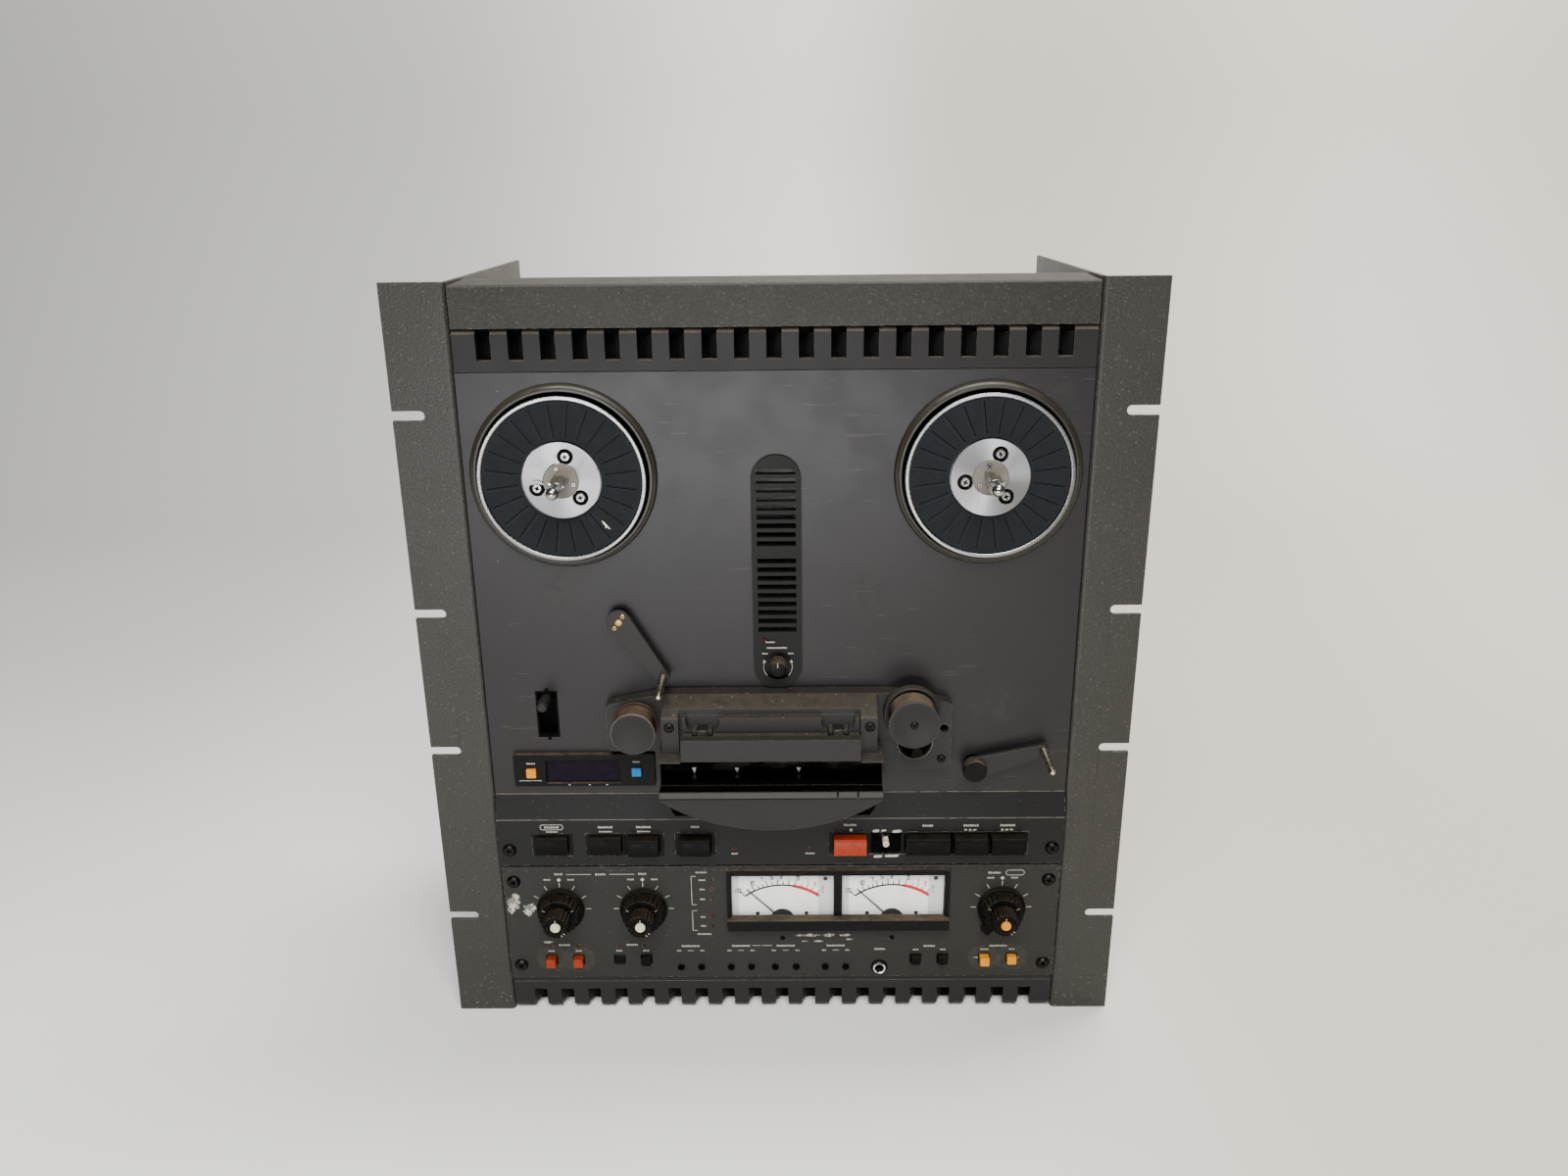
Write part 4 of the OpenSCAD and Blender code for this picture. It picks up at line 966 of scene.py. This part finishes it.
def small_buttons():
    """Square caps on square stems, and a dark surround where each passes the panel."""
    half = 3.35
    surrounds = Shape()
    for name, (x, z, front, look, slot) in SMALL.items():
        cap = Shape((x, z)).slab(round_rect(-half, half, -half, half, 0.8), -4, front)
        cap.block(-1.6, 1.6, -10, -3.9, -1.6, 1.6)
        cap.done(f"{name}_cap", name, slot, [look], 0.45, 3, [name])
        face = AUDIO_FACE if z == BUTTON_Z else COUNTER_FACE
        opening = half + 0.3
        surrounds.slab(round_rect(x - 4.3, x + 4.3, z - 4.3, z + 4.3, 0.9), face - 1.6, face + 0.15,
                       [rect(x - opening, x + opening, z - opening, z + opening)])
    surrounds.done("button_surrounds", "frame", "panel_paint", [BLACK], 0.15)


def level_knob(name, look):
    """Two stacked knobs: a flared ring with a ribbed skirt, and a ribbed grip with a coloured cap."""
    at = axis_of(f"{name}_outer_turn")
    body = f"{name}_outer_knob"
    skirt = Shape(at)
    skirt.turn([(1.7, -16), (3, -16), (3, 4.2), (17, 4.2), (17, 5.8), (16.4, 6.6), (14, 7.2), (1.7, 7.2)],
               steps=120)
    skirt.turn([(1.7, 6.8), (15.4, 6.8), (15.1, 9), (14.6, 13.9), (14.1, 14.4), (1.7, 14.4)], steps=288,
               flutes=24, depth=1.0)
    skirt.turn([(9.9, 14.2), (13.4, 14.2), (13.1, 15.0), (10.2, 15.0)], steps=120, mat=1)
    if name == "output":
        skirt.slab(turned_by(rect(13, 20.5, -3.2, 3.2), -128), 6, 12.4)
    for a in (30, 150, 270):
        skirt.slab(turned_by(rect(10.7, 12.9, -0.25, 0.25), a), 14.9, 15.1, mat=2)
    skirt.done(f"{name}_skirt", body, "knob_plastic", [KNOB, GRIP, TAN_INK], 0.12, 2, [body])

    body = f"{name}_inner_knob"
    grip = Shape(at)
    grip.turn([(0, -17.4), (1.65, -17.4), (1.65, 15.4), (9.4, 15.4), (9.4, 26), (8.6, 26.8), (6.9, 26.9),
               (6.5, 26.2), (0, 26.2)], steps=216, flutes=18, depth=0.9)
    grip.done(f"{name}_grip", body, "knob_plastic", [GRIP], 0.12, 2, [body])
    cap = Shape(at).turn([(0, 26.1), (3.6, 26.1), (3.6, 27.0), (3.2, 27.6), (0, 27.7)], steps=48)
    for a in (-40, -58):
        cap.slab(turned_by(rect(7.1, 8.5, -0.3, 0.3), a), 26.7, 26.95, mat=1)
    cap.slab(turned_by(rect(4.2, 6.4, -0.35, 0.35), 90), 26.1, 26.5, mat=1)
    cap.done(f"{name}_grip_cap", body, "knob_plastic", [look, INK], 0.2)


def pitch_knob():
    """A small fluted knob with a pointer line."""
    at = axis_of("pitch_turn")
    knob = Shape(at).turn([(2.05, -1.6), (5.9, -1.6), (5.9, 9.4), (5.2, 10.2), (4.4, 10.4), (0, 10.4)],
                          steps=144, flutes=24, depth=0.3)
    knob.slab(rect(-0.35, 0.35, 1.5, 5.0), 10.3, 10.5, mat=1)
    knob.done("pitch_knob_grip", "pitch_knob", "black_plastic", [BLACK, TAN_INK], 0.2, 2, ["pitch_knob"])


def panel_screws():
    """Six cross head screws at the corners of the two lower panels."""
    # Each head is ringed with shadow black: painted shade in the gap round it.
    screws = Shape()
    for s in (-1, 1):
        for i, (z, front) in enumerate([(140.3, 6), (112.5, 3), (41.4, 2.5)]):
            at = (s * 191.8, z)
            screws.cross_screw(at, front, 4.3, 2.1, 20 + 25 * i + 30 * s)
            screws.turn(washer(4.3, 5.0, front, front + 0.2), at, 36, 1)
    screws.done("panel_screw_set", "frame", "black_plastic", [BLACK_SCREW, SHADE], replaces=["panel_screws"])


def headphone_jack():
    """The jack's bright ring round its dark bore; the bore's lining and a ring round the nut are shadow
    black, painted shade.
    """
    at = (71.8, 38.3)
    jack = Shape()
    # Painted shade: the bore is lined with shadow black.
    jack.turn(washer(3.2, 3.6, -16, 4.2), at, 40, 1)
    jack.turn([(3.3, 4.0), (4.6, 4.0), (4.5, 4.7), (3.9, 5.0), (3.4, 4.8)], at, 48)
    # Painted shade: a shadow black ring round the nut.
    jack.turn(washer(4.7, 6.1, 2.0, 2.7), at, 40, 1)
    jack.done("headphone_jack_ring", "frame", "head_metal", [CHROME, SHADE])


def signal_lamps():
    """Nine lamps of the audio panel and the pitch control's lamp."""
    lamps = Shape()
    column = [(-49.5, z) for z in (113, 105.3, 97.1, 82.1, 74.5)]
    row = [(x, 57.4) for x in (-169, -149.1, -119.5, -100.3)]
    for at in column + row:
        lamps.turn([(0, 0.5), (1.25, 0.5), (1.25, 2.7), (0.9, 3.2), (0, 3.4)], at, 24)
    lamps.turn([(0, -1), (1.2, -1), (1.2, 3.6), (0.8, 4.1), (0, 4.3)], (-8.7, 298.3), 24)
    lamps.done("signal_lamps", "frame", "red_plastic", [LAMP])


# The trimmer holes stand in four pairs.
TRIMMER_PAIRS = [(-74, -59), (-37.1, -22.2), (-4.6, 10.7), (32.2, 47.2)]
TRIMMER_Z = 38.5


def trimmers():
    """Slotted screws deep in the lined trimmer holes, screws and linings shadow black as painted shade, and
    the two screws that set the meters' zero.
    """
    holes = Shape()
    for x in [x for pair in TRIMMER_PAIRS for x in pair]:
        at = (x, TRIMMER_Z)
        # Painted shade: each hole's screw and lining are shadow black.
        holes.turn(washer(0, 2.35, -2, 0.4), at, 24)
        holes.turn([(2.1, 0.3), (2.7, 2.9), (2.7, 3.05), (2.1, 3.05)], at, 24)
        holes.slab(turned_by(rect(-1.4, 1.4, -0.25, 0.25), 5 * x, at), 0.3, 0.55, mat=1)
    for x in (1, 80.5):
        holes.cross_screw((x, 63.8), 2.4, 1.9, 0.9, x)
    holes.done("trimmer_screws", "frame", "black_plastic", [SHADE, BLACK])


def dark_fittings():
    """Shadow black sheets behind the vents, the counter's window and the shadow black lining of the cue
    lever's slot; the sheets and the lining are painted shade.
    """
    # Painted shade: dark sheets stand behind the vents, where there is only shadow.
    shade_sheets = Shape()
    for z0, z1 in [(479, 501), (1.5, 19)]:
        shade_sheets.block(-186, 186, -13, -12, z0, z1)
    shade_sheets.done("vent_shade_sheets", "frame", "vent_plastic", [SHADE])
    window = Shape().slab(rect(-161.7, -110.5, 192.3, 209.7), 0.9, 1.9)
    window.done("counter_window", "frame", "black_plastic", [COUNTER_GLASS], 0.2)
    # Painted shade: a shadow black lining and back plate in the cue lever's slot.
    lining = Shape().slab(rect(-165.5, -150.9, 226.2, 260.5), -5.5, 0.35, [rect(-164.4, -152, 227.3, 259.4)])
    lining.slab(rect(-166, -150, 225, 262), -16.5, -16)
    for z in (225.2, 261.5):
        lining.turn(washer(0, 1.35, -1, 0.2), (-157.9, z), 20)
    lining.done("cue_slot_shade_lining", "frame", "black_plastic", [SHADE])


# ---- meters ----

SEGMENTS = {"0": "abcdef", "1": "bc", "2": "abged", "3": "abgcd", "5": "afgcd", "7": "abc"}


def strokes(shape, points, width, back, rise=0.1, mat=0):
    """A line of that width along (x, z) points, as thin raised ink."""
    half = width / 2
    for (x0, z0), (x1, z1) in zip(points, points[1:]):
        length = math.hypot(x1 - x0, z1 - z0)
        angle = math.degrees(math.atan2(z1 - z0, x1 - x0))
        line = turned_by(rect(-half, length + half, -half, half), angle, (x0, z0))
        shape.slab(line, back, back + rise, mat=mat)


def numeral(shape, text, at, h, back, rise, mat=0):
    """A numeral drawn with straight strokes, up to seven per digit, its middle at (x, z)."""
    w, gap = h * 0.5, h * 0.75
    low, mid, high = at[1] - h / 2, at[1], at[1] + h / 2
    for i, digit in enumerate(text):
        x0 = at[0] + (i - (len(text) - 1) / 2) * gap - w / 2
        x1 = x0 + w
        lines = {"a": [(x0, high), (x1, high)], "b": [(x1, high), (x1, mid)], "c": [(x1, mid), (x1, low)],
                 "d": [(x0, low), (x1, low)], "e": [(x0, low), (x0, mid)], "f": [(x0, mid), (x0, high)],
                 "g": [(x0, mid), (x1, mid)]}
        for part in SEGMENTS[digit]:
            strokes(shape, lines[part], h * 0.2, back, rise, mat)


def meter_scale(name, shift, card):
    """The scale's arc with its ticks and numerals, black up to 0 and red past it, and the peak lamp."""
    marks = Shape()
    middle, radius = (shift + 1.0, 62.5), 43.8
    ink, rise = card - 0.05, 0.15

    def tick(a, start, end, mat):
        strokes(marks, [polar(radius + r, a, middle) for r in (start, end)], 0.65, ink, rise, mat)

    strokes(marks, [polar(radius, a, middle) for a in range(127, 77, -3)], 1.2, ink, rise)
    strokes(marks, [polar(radius, a, middle) for a in range(78, 53, -3)], 2.4, ink, rise, 1)
    for a in (128, 122, 117, 112, 108, 104, 99, 94, 89, 84):
        tick(a, 0.4, 4.6 if a in (128, 117, 104, 94, 84) else 2.8, 0)
    for a in (78, 72, 67, 62, 56):
        tick(a, 1, 4.6 if a in (78, 67, 56) else 3, 1)
    for text, a in [("20", 129), ("10", 116), ("7", 107), ("5", 98.5), ("3", 91), ("0", 77)]:
        numeral(marks, text, polar(radius + 6.9, a, middle), 3.0, ink, rise)
    for text, a in [("1", 69), ("2", 62), ("3", 55)]:
        numeral(marks, text, polar(radius + 6.7, a, middle), 2.8, ink, rise, 1)
    for x0, x1 in [(-29.8, -28), (29.5, 31.5)]:
        strokes(marks, [(shift + x0, 100), (shift + x1, 100)], 0.45, ink, rise)
    strokes(marks, [(shift + 30.5, 99), (shift + 30.5, 101)], 0.45, ink, rise)
    marks.slab(ring(1.6, (shift + 32.2, 111.8), 20), ink, ink + 0.45, mat=2)
    marks.done(f"{name}_meter_scale", "frame", "black_plastic", [DARK_INK, RED_INK, LAMP])


def meter(name, shift):
    """A white card with its scale in relief ink, a hub cover, a thin needle and a clear window."""
    card, ink = -0.5, -0.4
    x0, x1 = shift - 35.4, shift + 38.1
    face = Shape().slab(rect(x0, x1, 75.2, 117.5), -0.95, card)
    face.slab(rect(x0, x0 + 5.0, 75.2, 117.5), card - 0.1, ink, mat=1)
    face.slab(rect(x0 + 62.5, x1, 75.2, 117.5), card - 0.1, ink, mat=1)
    face.done(f"{name}_meter_card", "frame", "black_plastic", [DIAL, DIAL_SIDE])
    meter_scale(name, shift, card)

    hub = Shape((shift + 1.0, 77.8))
    hub.slab(ring(8.7, (0, 0), 40, 0, 180), -0.6, 0.1)
    for x in (-18, 17.5):
        hub.cross_screw((x, 4.9), -0.5, 1.5, 0.5, 30)
    hub.done(f"{name}_meter_hub", "frame", "black_plastic", [SHADE, BLACK], 0.08)

    body = f"{name}_needle"
    at = axis_of(f"{name}_needle_swing")
    pointer = Shape(at).turn(washer(0, 1.8, -0.45, 0.85), steps=32)
    pointer.slab([polar(1.5, 115), polar(1.5, 155), polar(36, 135.5), polar(36, 134.5)], 0.25, 0.55)
    pointer.done(f"{name}_pointer", body, "black_plastic", [DARK_INK], replaces=[body])

    glass = Shape().slab(rect(x0, x1, 83.5, 116.8), 3.0, 3.5)
    glass.done(f"{name}_meter_window", "frame", "black_plastic", [CLEAR])


# ---- printed marks ----

def label(shape, x, z, letters, back, h=1.5):
    """A run of plain blocks where a word is printed: it says nothing, but has a word's size and weight."""
    w, pitch = h * 0.62, h * 0.95
    left = x - (letters * pitch - (pitch - w)) / 2
    for i in range(letters):
        start = left + i * pitch
        uneven = 0.088 * h * (i % 3)
        shape.slab(rect(start, start + w, z - h / 2, z + h / 2 - uneven), back, back + 0.1)


def stadium(shape, x0, x1, z0, z1, back):
    """A printed pill outline."""
    r = (z1 - z0) / 2
    right, left = (x1 - r, z0 + r), (x0 + r, z0 + r)
    outer = ring(r, right, 14, -90, 90) + ring(r, left, 14, 90, 270)
    inner = ring(r - 0.4, right, 14, -90, 90) + ring(r - 0.4, left, 14, 90, 270)
    shape.slab(outer, back, back + 0.1, [inner])


def control_marks():
    """Marks over the keys: short label runs, a pill outline, arrows and dots, and the two lamps below."""
    f = CONTROL_FACE - 0.03
    marks = Shape()
    stadium(marks, -169, -152.6, 156.3, 160.7, f)
    label(marks, -160.8, 158.5, 7, f, 1.6)
    for x, letters in [(-122.9, 7), (-96, 7), (-59.8, 4), (103.8, 5), (134.1, 7), (159.8, 7)]:
        label(marks, x, 158.4, letters, f, 1.6)
    for x, letters in [(-160.8, 8), (-122.9, 9), (-96, 9)]:
        label(marks, x, 154.9, letters, f, 1.1)
    label(marks, 49.3, 159.3, 6, f, 1.6)
    marks.slab(ring(1.1, (50, 155.2), 20), f, f + 0.1)
    for x in (134.1, 159.8):
        for left in (x - 4.4, x - 1.2, x + 2.0):
            marks.slab([(left, 154.1), (left + 2.4, 154.9), (left, 155.7)], f, f + 0.1)
    for x, letters in [(-32.3, 4), (21.2, 6)]:
        label(marks, x, 136.6, letters, f, 1.2)
        marks.turn([(0, 3), (1.25, 3), (1.25, 6.2), (0, 6.3)], (x, 140.4), 20, 1)
    marks.done("control_marks", "frame", "panel_paint", [INK, LAMP])


def dial_marks(marks, at, f):
    """Ticks round a level knob, every 30 degrees, and a small diamond between two labels at the top."""
    for a in range(0, 181, 30):
        strokes(marks, [polar(r, a, at) for r in (18.4, 21.6)], 0.45, f)
    x, z = at[0], at[1] + 24.2
    marks.slab([(x, z + 1.6), (x + 1.6, z), (x, z - 1.6), (x - 1.6, z)], f, f + 0.1)
    for s in (-1, 1):
        label(marks, x + s * 8.5, z + 0.2, 4, f, 1.3)


def audio_marks():
    """White marks of the audio panel: knob scales, brackets, lines and label runs."""
    f = AUDIO_FACE - 0.03
    marks = Shape()
    for joint in ("input_1_outer_turn", "input_2_outer_turn"):
        x, z = axis_of(joint)
        dial_marks(marks, (x, z), f)
        label(marks, x, z + 29, 4, f, 1.6)
    x, z = axis_of("output_outer_turn")
    dial_marks(marks, (x, z), f)
    label(marks, x - 6, z + 28.6, 6, f, 1.6)
    stadium(marks, x + 2, x + 15.5, z + 26.4, z + 30.8, f)
    for x0, x1 in [(-153.5, -136), (-122.5, -105)]:
        strokes(marks, [(x0, 118.2), (x1, 118.2)], 0.4, f)
    for low, high in [(92.5, 116.2), (70.6, 87.4)]:
        strokes(marks, [(-61, low), (-64.2, low), (-64.2, high), (-61, high)], 0.4, f)
    for z, letters in [(113, 4), (105.3, 3), (97.1, 3), (82.1, 3), (74.5, 3)]:
        label(marks, -56.5, z, letters, f, 1.3)
    for x, z, letters, h in [(-129.2, 118.2, 5, 1.6), (-57, 119.4, 7, 1.2), (-56, 67.5, 9, 1.2),
                             (-159, 58.5, 6, 1.5), (-109.2, 58.5, 6, 1.5), (108.1, 56.5, 6, 1.5),
                             (158.5, 56.5, 9, 1.5), (71.8, 54, 6, 1.4)]:
        label(marks, x, z, letters, f, h)
    for name, (x, z, *_) in SMALL.items():
        if z == BUTTON_Z:
            label(marks, x, 53.4, 6 if name == "monitor_1_button" else 4, f, 1.2 if x < 0 else 1.1)
    for x0, x1 in TRIMMER_PAIRS:
        middle = (x0 + x1) / 2
        label(marks, middle, 57.2, 10, f, 1.4)
        label(marks, x0 - 1, 53.2, 3, f, 1.1)
        label(marks, x1 + 1, 53.2, 3, f, 1.1)
        strokes(marks, [(middle - 2, 53.2), (middle + 2, 53.2)], 0.35, f)
    for x0, x1 in [(-14, -7), (-21, -15.5)]:
        strokes(marks, [(x0, 57.4), (x1, 57.4)], 0.35, f)
    marks.done("audio_marks", "frame", "panel_paint", [INK])


def deck_marks():
    """Marks of the pitch control, with its two bent arrows, and of the tape counter."""
    marks = Shape()
    x, z = axis_of("pitch_turn")
    f = GRILLE_FACE - 0.02
    for side, first, step in [(-1, 160, 7.5), (1, 20, -7.5)]:
        bend = [polar(9.6, first + step * i, (x, z)) for i in range(9)]
        strokes(marks, bend, 0.45, f)
        tip_x, tip_z = bend[0]
        marks.slab([(tip_x - 1.1, tip_z - 0.4), (tip_x + 1.1, tip_z - 0.4), (tip_x, tip_z + 1.7)], f, f + 0.1)
        label(marks, x + side * 8.6, z + 9.4, 4, f, 1.0)
    label(marks, x - 0.5, z + 13.5, 12, f, 1.2)
    label(marks, x - 5, z + 17.6, 6, f, 1.1)
    f = COUNTER_FACE - 0.03
    label(marks, -171.9, 207.6, 6, f, 1.1)
    label(marks, -98.8, 208.6, 5, f, 1.1)
    strokes(marks, [(-180.5, 194.4), (-165.5, 194.4)], 0.4, f)
    for x in (-146, -132, -120):
        label(marks, x, 191.1, 2, f, 0.8)
    marks.done("deck_marks", "frame", "panel_paint", [INK])


# ---- rear ----

def rear_sockets():
    """Signal, remote and mains sockets, the fuse cap and the cover's screws, all standing off to the rear."""
    face = span("rear_cover")[2] + 4
    signal = [(x, 90) for x in (-150, -110, -70, -30)]
    barrel = [(0, face + 1), (9.7, face + 1), (9.7, face - 1.2), (8.8, face - 1.6), (0, face - 1.6)]
    pin = [(0, face), (1.3, face), (1.3, face - 2.8), (0, face - 2.9)]
    sockets = Shape()
    for at in signal:
        sockets.turn(barrel, at, 48)
        for a in (90, 210, 330):
            sockets.turn(pin, polar(4.6, a, at), 16, 1)
    sockets.block(44.2, 85.8, face - 1.5, face + 0.4, 79.2, 100.8)
    for i in range(6):
        for j in range(3):
            sockets.turn(washer(0, 0.9, face, face - 2.4), (50 + 6 * i, 84 + 6 * j), 12, 1)
    sockets.block(125.2, 164.8, face - 1.2, face + 0.4, 74.2, 99.8)
    for x, z in [(135, 84), (145, 91), (155, 84)]:
        sockets.block(x - 1.1, x + 1.1, face - 3, face, z - 3.2, z + 3.2, 1)
    fuse_cap = [(0, face), (7, face), (6.6, face - 3.2), (5.8, face - 3.8), (0, face - 3.8)]
    sockets.turn(fuse_cap, (110, 130), 40, flutes=20, depth=0.4)
    sockets.done("rear_sockets", "frame", "black_plastic", [BLACK, CHROME], 0.15)
    screws = Shape()
    head = [(0, face + 0.2), (3.4, face + 0.2), (3.4, face - 0.9), (2.2, face - 1.5), (0, face - 1.5)]
    small_head = [(0, face - 2), (1.5, face - 2), (1.2, face - 3.6), (0, face - 3.6)]
    for x in (-190, -64, 64, 190):
        for z in (34, 250, 497):
            screws.turn(head, (x, z), 32)
    for at in signal:
        for a in (-45, 135):
            screws.turn(small_head, polar(11.5, a, at), 20)
    screws.done("rear_screws", "frame", "chassis_steel", [SCREW])


# ---- room, camera and light ----

def sweep():
    """A seamless paper floor that curves up behind the deck."""
    back, rise, front, top, half = 1.15, 0.7, -1.6, 4.5, 9.0
    line = [(front, 0.0), (0.0, 0.0)] + ring(rise, (back, rise), 16, -90, 0) + [(back + rise, top)]
    mesh = bpy.data.meshes.new("paper_sweep")
    verts = [(x, y, z) for x in (-half, half) for y, z in line]
    n = len(line)
    mesh.from_pydata(verts, [], [(i, i + n, i + n + 1, i + 1) for i in range(n - 1)])
    mesh.polygons.foreach_set("use_smooth", [True] * len(mesh.polygons))
    mesh.materials.append(backdrop_paper().mat)
    paper = bpy.data.objects.new("paper_sweep", mesh)
    bpy.context.scene.collection.objects.link(paper)


def camera():
    """A camera above the deck's middle, tipped down 19.6 degrees and fitted to the rack's standard sizes."""
    cam = bpy.data.cameras.new("camera")
    cam.lens = 28.41
    cam.sensor_width = 36
    view = bpy.data.objects.new("camera", cam)
    view.location = (0.01238, -0.85438, 0.60708)
    view.rotation_euler = [math.radians(a) for a in (70.441, 0.560, 0.382)]
    bpy.context.scene.collection.objects.link(view)
    bpy.context.scene.camera = view


def area(name, place, target, size, power, color):
    """A rectangular light aimed at a target."""
    light = bpy.data.lights.new(name, "AREA")
    light.shape = "RECTANGLE"
    light.size, light.size_y = size
    light.energy = power
    light.color = color
    lamp = bpy.data.objects.new(name, light)
    lamp.location = place
    lamp.visible_camera = False
    lamp.rotation_euler = (Vector(target) - Vector(place)).to_track_quat("-Z", "Y").to_euler()
    bpy.context.scene.collection.objects.link(lamp)


def lights():
    """Soft studio light: a broad source over the deck, a low one in front and one for the paper behind."""
    area("top_light", (0.05, -1.6, 2.2), (0, 0, 0.3), (1.6, 1.1), 118, (1.0, 0.99, 0.97))
    area("front_light", (-0.2, -2.1, 0.06), (0, 0, 0.5), (1.1, 0.2), 18, (0.98, 0.98, 1.0))
    area("back_light", (0.7, 0.45, 2.7), (0.4, 1.5, 1.0), (1.2, 0.8), 88, (1.0, 0.98, 0.95))
    world = bpy.data.worlds.new("studio")
    world.use_nodes = True
    background = world.node_tree.nodes["Background"]
    background.inputs["Color"].default_value = (0.86, 0.88, 0.9, 1)
    background.inputs["Strength"].default_value = 0.1
    bpy.context.scene.world = world


kept_pieces()
reel_table("supply", "supply_reel_spin", 77)
reel_table("takeup", "takeup_reel_spin", 70)
mat_chip()
tension_arm("supply_arm", "supply_arm_swing", -55, False)
tension_arm("takeup_arm", "takeup_arm_swing", 16.4, True)
rollers()
tape_slot()
head_block_trim()
large_keys()
play_well()
small_buttons()
level_knob("input_1", CREAM)
level_knob("input_2", CREAM)
level_knob("output", AMBER)
pitch_knob()
panel_screws()
headphone_jack()
signal_lamps()
trimmers()
dark_fittings()
meter("left", 0.0)
meter("right", 79.5)
control_marks()
audio_marks()
deck_marks()
rear_sockets()
sweep()
camera()
lights()
